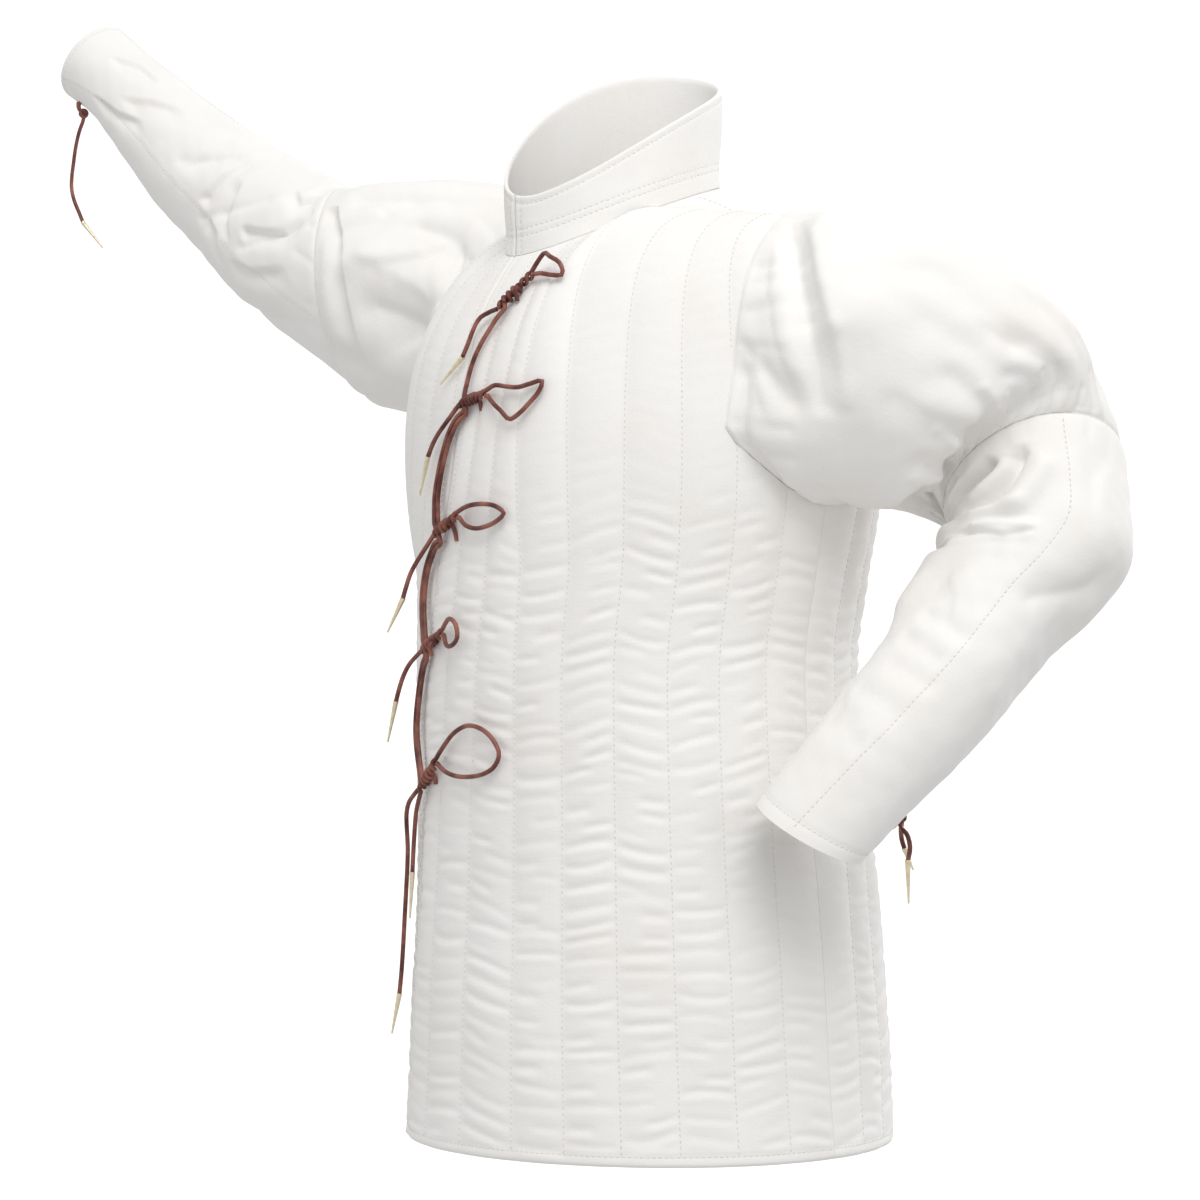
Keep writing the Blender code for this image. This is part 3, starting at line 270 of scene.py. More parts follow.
def yoke_top(around):
    """Where a channel ends above: the point, its direction there and the way to the lining."""
    back_middle = LEFT_CHANNELS + BACK_CHANNELS / 2
    if around <= LEFT_CHANNELS:
        from_edge, side, across, neck_start = around, 90.0, 1.0, 0.0
        neck_channels, channels = LEFT_NECK_CHANNELS, LEFT_CHANNELS
    elif around <= BACK_END:
        from_edge, across, neck_start = abs(around - back_middle), -1.0, 180.0
        side = 90.0 if around <= back_middle else 270.0
        neck_channels, channels = BACK_NECK_CHANNELS, BACK_CHANNELS / 2
    else:
        from_edge, side, across, neck_start = ALL_CHANNELS - around, 270.0, 1.0, 360.0
        neck_channels, channels = RIGHT_NECK_CHANNELS, RIGHT_CHANNELS
    outward = 1.0 if side < 180 else -1.0
    if from_edge <= neck_channels:
        angle = blend(neck_start, side, from_edge / neck_channels)
        a = math.radians(angle)
        inward = Vector((-math.sin(a), math.cos(a), 0.0))
        share = smooth(from_edge / neck_channels)
        turn = -2.0 * NECK_TURN * math.sin(a) * abs(math.cos(a))
        arrival = Vector((turn, across, blend(NECK_SLOPE, 0.04, share)))
        down = Vector((0.0, 0.0, -0.2 - 0.8 * share))
        return neck_point(angle), arrival.normalized(), (inward + down).normalized()
    place = (from_edge - neck_channels) / (channels - neck_channels)
    share = (1.0 - (1.0 - place) ** 2) * (1.0 + SHOULDER_OVERRUN)
    turn = smooth((place - 0.5) / 0.5)
    arrival = blend(Vector((0.0, across, 0.04)), Vector((-0.5 * outward, 0.0, 0.85)), turn)
    down = Vector((-0.5 * outward * turn, 0.0, -1.0))
    tip = LEFT_SHOULDER_TIP if side < 180 else RIGHT_SHOULDER_TIP
    return blend(neck_point(side), tip, share), arrival.normalized(), down.normalized()


def torso_form(around, rise):
    """The body's outer form.  rise is 0 at the hem, 1 at the chest and 2 at the top."""
    if rise <= 1.0:
        return trunk_point(around, blend(TRUNK[0].height, CHEST_HEIGHT, max(rise, 0.0)))
    low = trunk_point(around, CHEST_HEIGHT)
    step = 0.004
    start = (low - trunk_point(around, CHEST_HEIGHT - step)) / step
    top, arrival, _ = yoke_top(around)
    reach = (top - low).length
    return bezier(low, low + start * reach * 0.48, top - arrival * reach * 0.32, top,
                  rise - 1.0)


def torso_normal(around, rise):
    d = 0.02
    across = torso_form(min(around + d, ALL_CHANNELS), rise)
    across = across - torso_form(max(around - d, 0.0), rise)
    low, high = max(rise - d, 0.0), min(rise + d, 2.0)
    along = torso_form(around, high) - torso_form(around, low)
    return across.cross(along).normalized()


def quilt_fade(rise):
    return blend(0.35, 1.0, smooth(rise / 0.1)) * (1.0 - smooth((rise - 1.15) / 0.85) ** 2)


def solid_face(around, rise, relief):
    """A point of the solid's outer face; relief is 1 on a channel's crest."""
    form = torso_form(around, rise)
    if rise >= 2.0:
        return form - yoke_top(around)[1] * SEAM_GAP / 2
    return form - torso_normal(around, rise) * QUILT_RISE * quilt_fade(rise) * (1.0 - relief)


def edge_shift(around, rise, metres):
    d = 0.05
    low, high = max(around - d, 0.0), min(around + d, ALL_CHANNELS)
    width = (torso_form(high, rise) - torso_form(low, rise)).length
    return metres * (high - low) / max(width, 1e-5)


def solid_tree():
    """The body's solid face as a search tree: sleeves and knots are set against it."""
    steps = len(SOLID_PROFILE)
    return search_tree([np.array([
        [solid_face(i / steps, rise, SOLID_PROFILE[i % steps])
         for i in range(ALL_CHANNELS * steps + 1)] for rise in SOLID_RISES])])


body_tree = solid_tree()
hem = [trunk_point(k / 4, TRUNK[0].height) for k in range(ALL_CHANNELS * 4 + 1)]
print("hem girth %.2f m" % sum((b - a).length for a, b in zip(hem, hem[1:])))

# %% [markdown]
# ## Finishes as arithmetic
# A finish is a graph of nodes, and a graph reads best as a sum.  The class below wraps one
# output socket, so that `1 - mask` or `height * 0.3` adds its own Math node.  Every other node
# comes from one method of the recipe: its type, its settings and what goes into its sockets.

# %% Shader arithmetic
class Wire:
    """One output socket of a finish; arithmetic on it adds Math nodes."""

    def __init__(self, recipe, socket):
        self.recipe, self.socket = recipe, socket

    def maths(self, operation, *values):
        return self.recipe.add("ShaderNodeMath", {"operation": operation},
                               dict(enumerate(values)))

    def __add__(self, other):
        return self.maths("ADD", self, other)

    def __sub__(self, other):
        return self.maths("SUBTRACT", self, other)

    def __rsub__(self, other):
        return self.maths("SUBTRACT", other, self)

    def __mul__(self, other):
        return self.maths("MULTIPLY", self, other)

    __radd__ = __add__
    __rmul__ = __mul__


class Finish:
    """A material whose nodes are added one by one."""

    def __init__(self, title, **constants):
        self.material = bpy.data.materials.new(title)
        self.material.use_nodes = True
        self.tree = self.material.node_tree
        self.shader = self.tree.nodes["Principled BSDF"]
        for socket, value in constants.items():
            name = socket.replace("_", " ").title().replace("Ior", "IOR")
            self.shader.inputs[name].default_value = value

    def plug(self, node, sockets):
        for key, value in sockets.items():
            if isinstance(value, Wire):
                self.tree.links.new(value.socket, node.inputs[key])
            else:
                node.inputs[key].default_value = value

    def add(self, kind, settings=None, sockets=None, output=0):
        """A node of any type: its settings are set first, then its sockets."""
        node = self.tree.nodes.new(kind)
        for key, value in (settings or {}).items():
            setattr(node, key, value)
        self.plug(node, sockets or {})
        return Wire(self, node.outputs[output])

    def noise(self, place, scale, detail, fineness=0.5):
        return self.add("ShaderNodeTexNoise", {}, {"Vector": place, "Scale": scale,
                                                   "Detail": detail, "Roughness": fineness})

    def tint(self, mask, low, high):
        """A colour between two, as the mask goes from 0 to 1."""
        low, high = (c if isinstance(c, Wire) else (*c, 1.0) for c in (low, high))
        return self.add("ShaderNodeMix", {"data_type": "RGBA"}, {0: mask, 6: low, 7: high}, 2)

    def spread(self, value, low, high):
        """The value, stretched so that low becomes 0 and high becomes 1."""
        return self.add("ShaderNodeMapRange", {}, {0: value, 1: low, 2: high})

    def bump(self, height, strength, distance):
        normal = self.add("ShaderNodeBump", {},
                          {"Height": height, "Strength": strength, "Distance": distance})
        self.plug(self.shader, {"Normal": normal})

    def surface(self, colour, roughness):
        self.plug(self.shader, {"Base Color": colour, "Roughness": roughness})


# %% [markdown]
# ## Heavy off-white cotton
# The cloth is a plain weave of slubby cotton.  Its threads cross at right angles, so the weave
# is two sets of ridges along the cloth's own length and width, which each piece carries as a
# map in metres.  Unbleached cotton is never one colour: it is warmer where it was handled and
# has faint flecks of seed.

# %% Cotton finish
CLOTH_MAP = "cloth"
THREAD_PITCH = 0.0011      # from one thread to the next
BAND = 0.314               # a wave's scale at which its bands lie a metre apart
# FLECK is the seed flecks' own colour; the second colour is painted shade for the hollows between the
# threads.
FLECK, WEAVE_HOLLOW_SHADE = (0.62, 0.55, 0.44), (0.60, 0.56, 0.50)


def cotton_finish(name, light, warm, bump_strength):
    finish = Finish(name, metallic=0.0, sheen_weight=0.08, sheen_roughness=0.45,
                    specular_ior_level=0.25)
    place = finish.add("ShaderNodeUVMap", {"uv_map": CLOTH_MAP})
    warp, weft = (finish.add("ShaderNodeTexWave", {"bands_direction": way},
                             {"Vector": place, "Scale": BAND / THREAD_PITCH,
                              "Distortion": wander, "Detail": 2.0, "Detail Scale": 0.6}, 1)
                  for way, wander in (("X", 0.9), ("Y", 1.1)))
    weave = warp * 0.5 + weft * 0.5
    slub = finish.noise(place, 420.0, 3.0, 0.6)
    tone = finish.noise(place, 9.0, 4.0, 0.55)
    crush = finish.noise(place, 150.0, 4.0, 0.65)
    base = finish.tint(finish.spread(tone, 0.38, 0.68), light, warm)
    base = finish.tint(finish.spread(slub, 0.70, 0.80) * 0.25, base, FLECK)
    # Painted shade: the cloth turns a little darker and warmer in the weave's hollows, where the bump
    # sinks between the threads.
    base = finish.tint((1 - weave) * 0.07, base, WEAVE_HOLLOW_SHADE)
    finish.surface(base, 0.80 + tone * 0.16)
    finish.bump(weave * 0.3 + slub * 0.6 + crush * 1.8, bump_strength, 0.0006)
    return finish.material


def thread_finish():
    finish = Finish("cotton_thread", metallic=0.0, sheen_weight=0.15)
    twist = finish.add("ShaderNodeTexNoise", {}, {"Scale": 1800.0, "Detail": 1.0})
    finish.surface(finish.tint(twist, (0.86, 0.85, 0.82), (0.79, 0.76, 0.71)),
                   0.7 + twist * 0.2)
    return finish.material


cotton = cotton_finish("heavy_cotton", (0.86, 0.85, 0.835), (0.835, 0.812, 0.785), 0.36)
lining_cotton = cotton_finish("lining_cotton", (0.80, 0.775, 0.735), (0.76, 0.72, 0.66), 0.30)
thread = thread_finish()
print("finishes:", [m.name for m in (cotton, lining_cotton, thread)])

# %% [markdown]
# ## Cloth with two faces
# A wall of cloth is a fine grid of points outside and a coarser grid inside, zipped together
# along its edges.  Both faces carry the cloth's own map, so the weave runs with the cut.

# %% Cloth walls
SHARP_EDGE = math.radians(72)


def grid_normals(grid, closed):
    if closed:
        across = np.roll(grid, -1, axis=1) - np.roll(grid, 1, axis=1)
    else:
        across = np.gradient(grid, axis=1)
    normal = np.cross(across, np.gradient(grid, axis=0))
    return normal / np.maximum(np.linalg.norm(normal, axis=2, keepdims=True), 1e-12)


def summed(steps):
    return np.concatenate([[0.0], np.cumsum(steps)])


def cloth_map(grid):
    """Each point's place on the cloth, in metres across and along."""
    across = summed(np.linalg.norm(np.diff(grid[len(grid) // 2], axis=0), axis=1))
    along = summed(np.linalg.norm(np.diff(grid, axis=0), axis=2).mean(axis=1))
    return np.stack(np.meshgrid(across, along), axis=2)


def cloth_wall(name, outer, inner, closed, materials):
    """Closed wall between two grids; the inner has every second row and column."""
    faces, spots, finishes = [], [], []

    def face_of(grid, first, flip, finish):
        ids = looped(first + np.arange(grid.shape[0] * grid.shape[1]).reshape(grid.shape[:2]),
                     closed)
        places = cloth_map(looped(grid, closed))
        turn = (0, 3, 2, 1) if flip else (0, 1, 2, 3)
        corners, where = (np.stack([cells(values)[k] for k in turn], axis=2)
                          for values in (ids, places))
        faces.extend(corners.reshape(-1, 4).tolist())
        spots.append(where.reshape(-1, 2))
        finishes.extend([finish] * (corners.size // 4))
        return ids, places

    out_ids, out_map = face_of(outer, 0, False, 0)
    in_ids, _ = face_of(inner, outer.shape[0] * outer.shape[1], True, 1)

    def zip_edges(edge, flip):
        outs, ins, places = out_ids[edge], in_ids[edge], out_map[edge]
        for i in range(len(ins) - 1):
            a, b, c = (int(v) for v in outs[i * 2:i * 2 + 3])
            p, q = int(ins[i]), int(ins[i + 1])
            u, v, w = places[i * 2:i * 2 + 3]
            for face, where in (((a, p, b), (u, u, v)), ((b, p, q), (v, u, w)),
                                ((b, q, c), (v, w, w))):
                faces.append(list(face[::-1] if flip else face))
                spots.append(np.array(where[::-1] if flip else where))
                finishes.append(0)

    zip_edges(0, False)
    zip_edges(-1, True)
    if not closed:
        zip_edges((slice(None), 0), True)
        zip_edges((slice(None), -1), False)
    mesh = bpy.data.meshes.new(name)
    mesh.from_pydata(np.concatenate([outer.reshape(-1, 3), inner.reshape(-1, 3)]).tolist(), [],
                     faces)
    mesh.uv_layers.new(name=CLOTH_MAP).data.foreach_set(
        "uv", np.concatenate(spots).astype(np.float32).ravel())
    for material in materials:
        mesh.materials.append(material)
    mesh.polygons.foreach_set("material_index", finishes)
    mesh.shade_smooth()
    mesh.set_sharp_from_angle(angle=SHARP_EDGE)
    return linked(name, mesh)


def triangles(piece):
    return sum(len(face.vertices) - 2 for face in piece.data.polygons)


def flat_area(grid):
    """Area of the cloth that a grid of points spreads."""
    a, b, c, d = cells(grid)
    return 0.5 * float(np.linalg.norm(np.cross(c - a, d - b), axis=2).sum())


# %% [markdown]
# ## Sewing
# A lockstitch shows as a row of short thread lozenges that sink between each other into the
# cloth.  Each seam is a line of places with their outward ways; a loop lays the stitches on
# it, and all the stitches of a piece are joined in one mesh.

# %% Stitches
STITCH_PITCH, STITCH_LENGTH, STITCH_WIDTH = 0.0050, 0.0040, 0.0011
STITCH_RISE, STITCH_SINK = 0.0006, 0.0001
STITCH_SHAPE = (0.0, 0.3, 0.7, 1.0)                # where its ends and shoulders are


def stitched(name, lines, keep=None):
    """All the stitches along lines of (points, normals), as one mesh."""
    verts, faces = [], []
    for points, normals in lines:
        walk = summed(np.linalg.norm(np.diff(points, axis=0), axis=1))

        def read(values, place):
            return np.array([np.interp(place, walk, values[:, axis]) for axis in range(3)])

        count = int(walk[-1] / STITCH_PITCH)
        for k in range(count):
            start = (k + 0.5) * walk[-1] / count - STITCH_LENGTH / 2
            spots = [read(points, start + STITCH_LENGTH * share) for share in STITCH_SHAPE]
            if keep is not None and not keep(spots[1]):
                continue
            off = read(normals, start + STITCH_LENGTH / 2)
            side = np.cross(off, spots[3] - spots[0])
            side *= STITCH_WIDTH / 2 / max(np.linalg.norm(side), 1e-9)
            off = off / max(np.linalg.norm(off), 1e-9)
            base = len(verts)
            verts.append(spots[0] - off * STITCH_SINK)
            for spot in spots[1:3]:
                verts.extend((spot - side, spot + off * STITCH_RISE, spot + side))
            verts.append(spots[3] - off * STITCH_SINK)
            for a, b in ((1, 2), (2, 3), (3, 1)):
                faces.append((base + a, base + b, base + b + 3, base + a + 3))
                faces.append((base, base + b, base + a))
                faces.append((base + 7, base + a + 3, base + b + 3))
    mesh = bpy.data.meshes.new(name)
    mesh.from_pydata(verts, [], faces)
    mesh.materials.append(thread)
    mesh.shade_smooth()
    piece = linked(name, mesh)
    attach(piece, "root")
    print(name, "triangles:", triangles(piece))
    return piece


def on_grid(grid, normals, rows, columns, closed):
    """Places and outward ways on a grid, at fractions of its rows and columns."""
    def read(values):
        r = np.clip(rows, 0, len(values) - 1.001)
        width = values.shape[1]
        c = np.mod(columns, width) if closed else np.clip(columns, 0, width - 1.001)
        r0, c0 = r.astype(int), c.astype(int)
        fr, fc = (r - r0)[:, None], (c - c0)[:, None]
        c1 = (c0 + 1) % width
        low = values[r0, c0] * (1 - fc) + values[r0, c1] * fc
        high = values[r0 + 1, c0] * (1 - fc) + values[r0 + 1, c1] * fc
        return low * (1 - fr) + high * fr
    return read(grid), read(normals)


# %% Round strands
def strands(name, lines, radius, finish, closed=False):
    """Round strands along lines of points, as one curve object."""
    curve = bpy.data.curves.new(name, "CURVE")
    curve.dimensions = "3D"
    curve.bevel_depth = radius
    curve.bevel_resolution = 3
    curve.use_fill_caps = True
    for line in lines:
        spline = curve.splines.new("POLY")
        spline.points.add(len(line) - 1)
        spline.use_cyclic_u = closed
        for spot, point in zip(spline.points, line):
            spot.co = (*point, 1.0)
    curve.materials.append(finish)
    piece = linked(name, curve)
    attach(piece, "root")
    return piece


# %% [markdown]
# ## The quilted body
# Each panel is two layers of cotton with padding between, sewn through in upright lines.  The
# padding makes every channel a long pillow, and because the sewing takes up the outer cloth
# more than the lining, the pillow puckers: short slanted troughs, at uneven steps, that fade
# out at the stitch lines.  A displacement texture could draw them, but a loop that sets
# each trough keeps them apart from each other and lets one channel lean against the next.

# %% Sizes of the quilting
COLUMNS_A_CHANNEL = 12
CREST_POWER = 2.2
SEWN_SHARE = 0.5           # of the padding's rise that the sewing presses down
TRUNK_LENGTH = CHEST_HEIGHT - TRUNK[0].height
HEM_SPOTS = (0.0, 0.0008, 0.0018, 0.0030)          # metres above the hem's edge
FIRST_ROW = 0.0048                                 # and the first even row
TRUNK_STEPS, YOKE_STEPS = 237, 120
EDGE_SPOTS = (0.0, 0.045, 0.08, 0.13, 0.20, 0.28, 0.37, 0.46, 0.56, 0.67, 0.78, 0.89)
HEM_ROUND, FRONT_ROUND = 0.0035, 0.0016
HEM_STITCH, FRONT_STITCH = 0.0087, 0.0085
GROOVE_DEPTH, GROOVE_WIDTH = 0.0007, 0.0016
SOFT_SIZE, SOFT_RISE, SOFT_END = 0.11, 0.0007, (1.86, 1.995)
GAP_RISE = 1.6             # where the gap between the panels stops narrowing
EDGE_TURN = 1.875          # where the wall starts to turn towards the neck and shoulders

# How the puckers of each channel lie, in tenths of a millimetre: how far apart, how much
# higher they end at the channel's far side, at the hem and at the chest, and how deep.
Pucker = namedtuple("Pucker", "spacing slant_hem slant_chest depth")
PUCKERS = [Pucker(*scaled(row, 10000)) for row in (
    (150, -60, 40, 14), (160, 60, -80, 17), (145, -170, -80, 20), (160, -20, 70, 19),
    (150, 30, 130, 21), (140, 70, -130, 21), (160, -50, 120, 19), (150, 90, 110, 18),
    (150, -100, -60, 16), (155, 90, -40, 16), (145, -70, 110, 19), (160, 120, 50, 20),
    (150, -100, -90, 18), (145, 40, 120, 20), (155, 80, -60, 21), (150, -120, 80, 19),
    (160, -40, -110, 20), (145, 100, 60, 18), (155, -80, 100, 19), (150, 60, -70, 16),
    (150, -90, 60, 16), (160, 110, -90, 18), (145, -60, 120, 20), (155, 80, 50, 19),
    (150, -130, -100, 20), (160, 50, 90, 19), (150, -70, -50, 17), (150, 60, 40, 14))]
PUCKER_SPANS = ((0.0, 1.0), (0.0, 1.0), (0.0, 0.62), (0.38, 1.0))
PUCKER_FADE = 0.14                                 # of a channel, at each end of a trough
PUCKER_FIRST, PUCKER_LAST = 0.016, 0.80            # metres above the hem
PUCKER_FULL, PUCKER_FAINT, FAINT_SHARE = 0.475, 0.600, 0.16
PUCKER_DEPTH = 0.68       # the depths' common share
LEDGE_SHARE, LEDGE_BELOW = 0.38, 1.6               # the bright ledge under each trough
print("channels:", len(PUCKERS))


# %% Puckers
def puckers(channel, up, across):
    """Troughs of a channel: up is metres above the hem, across is 0 to 1 over the channel."""
    row, draw = PUCKERS[channel], random.Random(40 + channel)
    height = np.zeros_like(up)
    place = PUCKER_FIRST * draw.uniform(0.8, 1.4)
    while place < PUCKER_LAST:
        slant = blend(row.slant_hem, row.slant_chest, smooth(place / PUCKER_FULL))
        slant += draw.gauss(0.0, 0.0024)
        bow = draw.gauss(0.0, 0.0022) * 4.0 * across * (1.0 - across)
        width = draw.uniform(0.0028, 0.0042)
        fade = blend(1.0, FAINT_SHARE,
                     smooth((place - PUCKER_FULL) / (PUCKER_FAINT - PUCKER_FULL)))
        depth = row.depth * PUCKER_DEPTH * draw.uniform(0.40, 1.25) * fade
        left, right = draw.choice(PUCKER_SPANS)
        window = soft_step(across, left, left + PUCKER_FADE)
        window = window * (1.0 - soft_step(across, right - PUCKER_FADE, right))
        away = (up - place - slant * (across - 0.5) - bow) / width
        trough = np.exp(-away ** 2) - LEDGE_SHARE * np.exp(-(away + LEDGE_BELOW) ** 2)
        height -= depth * window * trough
        place += row.spacing * draw.uniform(0.75, 1.3)
    return height


def soft_noise(points, size, seed):
    """Smooth hills and hollows about a size apart, mostly between -1 and 1."""
    draw = random.Random(seed)
    total = np.zeros(points.shape[:-1])
    waves = 14
    for _ in range(waves):
        way = np.array([draw.gauss(0.0, 1.0) for _ in range(3)])
        way *= 2.0 * math.pi * draw.uniform(0.6, 1.5) / (size * np.linalg.norm(way))
        total += np.sin(points @ way + draw.uniform(0.0, 2.0 * math.pi))
    return total * 0.8 / math.sqrt(waves)


def rounded(distance, radius):
    """How far a face turns in at a distance from its rounded edge."""
    short = np.clip(1.0 - distance / radius, 0.0, 0.96)
    return radius * (1.0 - np.sqrt(1.0 - short ** 2))


def groove(distance):
    """The dent that a row of stitches pulls into cloth."""
    return -GROOVE_DEPTH * np.exp(-(distance / GROOVE_WIDTH) ** 2)


def unit(ways):
    return ways / np.linalg.norm(ways, axis=-1, keepdims=True)


# %% Panels of the body
def channel_places(first, last):
    """Columns across a panel, closer together beside the front edges."""
    even = [k / COLUMNS_A_CHANNEL for k in range(COLUMNS_A_CHANNEL)]
    near_last = [0.0] + [1.0 - spot for spot in reversed(EDGE_SPOTS[1:])]
    places = []
    for channel in range(first, last):
        spots = {0: EDGE_SPOTS, ALL_CHANNELS - 1: near_last}.get(channel, even)
        places += [channel + spot for spot in spots]
    return np.array(places + [float(last)])


def row_rises():
    hem = [spot / TRUNK_LENGTH for spot in HEM_SPOTS]
    trunk = np.linspace(FIRST_ROW / TRUNK_LENGTH, 1.0, TRUNK_STEPS).tolist()
    return hem + trunk + [1.0 + k / YOKE_STEPS for k in range(1, YOKE_STEPS + 1)]


def walked(grid, axis):
    """Metres walked from the grid's first row or column to each point."""
    steps = np.linalg.norm(np.diff(grid, axis=axis), axis=2)
    start = np.zeros_like(np.take(steps, [0], axis=axis))
    return np.concatenate([start, np.cumsum(steps, axis=axis)], axis=axis)


Grids = namedtuple("Grids", "form outer lining normals")


def panel_grids(first, last, gaps):
    """A panel's form, its outer face and its lining, and the metres above the hem."""
    rises = row_rises()
    places = channel_places(first, last)
    form = np.empty((len(rises), len(places), 3))
    for r, rise in enumerate(rises):
        low = first + edge_shift(first, min(rise, GAP_RISE), gaps[0] / 2)
        high = last - edge_shift(last, min(rise, GAP_RISE), gaps[1] / 2)
        for c, place in enumerate(places):
            form[r, c] = torso_form(min(max(place, low), high), rise)
    normals, up = grid_normals(form, False), walked(form, 0)
    rise = np.array(rises)[:, None]
    across = places - np.minimum(np.floor(places), last - 1)
    crest = 1.0 - np.abs(2.0 * across - 1.0) ** CREST_POWER
    fade = np.array([quilt_fade(r) for r in rises])[:, None]
    relief = -QUILT_RISE * SEWN_SHARE * fade * (1.0 - crest)
    for channel in range(first, last):
        span = slice((channel - first) * COLUMNS_A_CHANNEL,
                     (channel - first + 1) * COLUMNS_A_CHANNEL + 1)
        share = np.broadcast_to(places[span] - channel, up[:, span].shape)
        relief[:, span] += puckers(channel, up[:, span], share)
    top = 1.0 - soft_step(rise, *SOFT_END)
    relief += SOFT_RISE * (soft_noise(form, SOFT_SIZE, 7) - 1.0) * top
    relief += groove(up - HEM_STITCH) - rounded(up, HEM_ROUND)
    if FRONT_GAP in gaps:
        girth = walked(form, 1)
        girth = girth if first == 0 else girth[:, -1:] - girth
        relief += groove(girth - FRONT_STITCH) - rounded(girth, FRONT_ROUND)
    outer = form + normals * relief[..., None]
    _, arrivals, downs = (np.array(part) for part in zip(*map(yoke_top, places)))
    outer[-1] = form[-1] - arrivals * SEAM_GAP / 2
    turn = np.clip((rise - EDGE_TURN) / (2.0 - EDGE_TURN), 0.0, 1.0)[..., None]
    inward = unit(-normals * (1.0 - turn) + downs * turn)
    depth = blend(WALL_CREST, WALL_TOP, turn[..., 0]) - rounded(up, HEM_ROUND) / 2
    lining = form + inward * depth[..., None]
    return Grids(form, outer, lining[::2, ::2], normals)


Panel = namedtuple("Panel", "name first last gaps arms")
PANELS = (
    Panel("left_front", 0, LEFT_CHANNELS, (FRONT_GAP, SEAM_GAP), ("left",)),
    Panel("back", LEFT_CHANNELS, BACK_END, (SEAM_GAP, SEAM_GAP), ("left", "right")),
    Panel("right_front", BACK_END, ALL_CHANNELS, (SEAM_GAP, FRONT_GAP), ("right",)),
)
body_grids = {panel.name: panel_grids(panel.first, panel.last, panel.gaps)
              for panel in PANELS}
print({name: grids.outer.shape[:2] for name, grids in body_grids.items()})


# %% [markdown]
# ## Cutting the armholes
# A maker cuts an armhole out of the finished panel, so the panels are cut here with one
# scooped block for each arm.  A Boolean modifier makes the cut; the result is kept as a plain
# mesh.

# %% Armholes
STITCH_CLEAR = 0.002       # between the last stitch and an armhole


def armhole_axes(armhole):
    up = Vector((0.0, 0.0, 1.0))
    up = (up - armhole.outward * up.dot(armhole.outward)).normalized()
    return up, up.cross(armhole.outward)


def lofted(name, rings, finish):
    """Closed mesh between two or more rings of points, capped at both ends."""
    bm = bmesh.new()
    rings = [[bm.verts.new(point) for point in ring] for ring in rings]
    for low, high in zip(rings, rings[1:]):
        for k in range(len(low)):
            ahead = (k + 1) % len(low)
            bm.faces.new((low[k], low[ahead], high[ahead], high[k]))
    bm.faces.new(rings[0])
    bm.faces.new(rings[-1])
    bmesh.ops.recalc_face_normals(bm, faces=bm.faces)
    mesh = bpy.data.meshes.new(name)
    bm.to_mesh(mesh)
    bm.free()
    mesh.materials.append(finish)
    return linked(name, mesh)


def armhole_cutter(name, armhole):
    up, side = armhole_axes(armhole)
    wide, deep = armhole.scoop_width + SCOOP_GAP, armhole.scoop_depth + SCOOP_GAP
    turns = [math.pi * k / SCOOP_STEPS for k in range(SCOOP_STEPS + 1)]
    outline = [(wide * math.cos(a), -deep * math.sin(a)) for a in turns]
    outline = [(wide, ARMHOLE_TOP)] + outline + [(-wide, ARMHOLE_TOP)]
    rings = [[armhole.middle + armhole.outward * depth + side * x + up * y
              for x, y in outline] for depth in (0.0, ARMHOLE_CUT)]
    return lofted(name, rings, lining_cotton)


def cut_away(piece, cutters):
    for cutter in cutters:
        modifier = piece.modifiers.new(cutter.name, "BOOLEAN")
        modifier.operation = "DIFFERENCE"
        modifier.solver = "EXACT"
        modifier.object = cutter
    seen = piece.evaluated_get(bpy.context.evaluated_depsgraph_get())
    piece.data = bpy.data.meshes.new_from_object(seen)
    piece.modifiers.clear()


def in_armhole(point):
    """Whether a place on the body is cut away for an arm."""
    for armhole in (arm.armhole for arm in ARMS):
        up, side = armhole_axes(armhole)
        place = Vector(point) - armhole.middle
        x = place.dot(side) / (armhole.scoop_width + STITCH_CLEAR)
        y = min(place.dot(up) / (armhole.scoop_depth + STITCH_CLEAR), 0.0)
        if place.dot(armhole.outward) >= -STITCH_CLEAR and math.hypot(x, y) < 1.0:
            return True
    return False


cutters = {arm.side: armhole_cutter(arm.side + "_armhole_cut", arm.armhole) for arm in ARMS}
cloth_pieces = {}
for panel in PANELS:
    grids = body_grids[panel.name]
    piece = cloth_wall("quilted_" + panel.name, grids.outer, grids.lining, False,
                       (cotton, lining_cotton))
    cut_away(piece, [cutters[side] for side in panel.arms])
    cloth_pieces[panel.name] = piece
    print(piece.name, "triangles:", triangles(piece))
for cutter in cutters.values():
    bpy.data.objects.remove(cutter, do_unlink=True)


# %% Sewing on the body
def body_stitches(panel):
    """Rows of stitches along the channel lines, the hem and a front edge."""
    form, outer, _, normals = body_grids[panel.name]
    rows = np.linspace(6.0, len(outer) - 2.0, 700)
    lines = [(rows, np.full_like(rows, channel * COLUMNS_A_CHANNEL))
             for channel in range(1, panel.last - panel.first)]
    up = walked(form, 0)[:, 4]
    columns = np.linspace(0.6, outer.shape[1] - 1.6, 500)
    hem_row = float(np.interp(HEM_STITCH, up, np.arange(len(up))))
    lines.append((np.full_like(columns, hem_row), columns))
    if FRONT_GAP in panel.gaps:
        girth = walked(form, 1)
        if panel.first:
            girth = (girth[:, -1:] - girth)[:, ::-1]
        at = np.array([np.interp(FRONT_STITCH, girth[int(r)], np.arange(girth.shape[1]))
                       for r in rows])
        lines.append((rows, girth.shape[1] - 1 - at if panel.first else at))
    return [on_grid(outer, normals, *line, False) for line in lines]


for panel in PANELS:
    stitched(panel.name + "_stitches", body_stitches(panel),
             lambda spot: not in_armhole(spot))


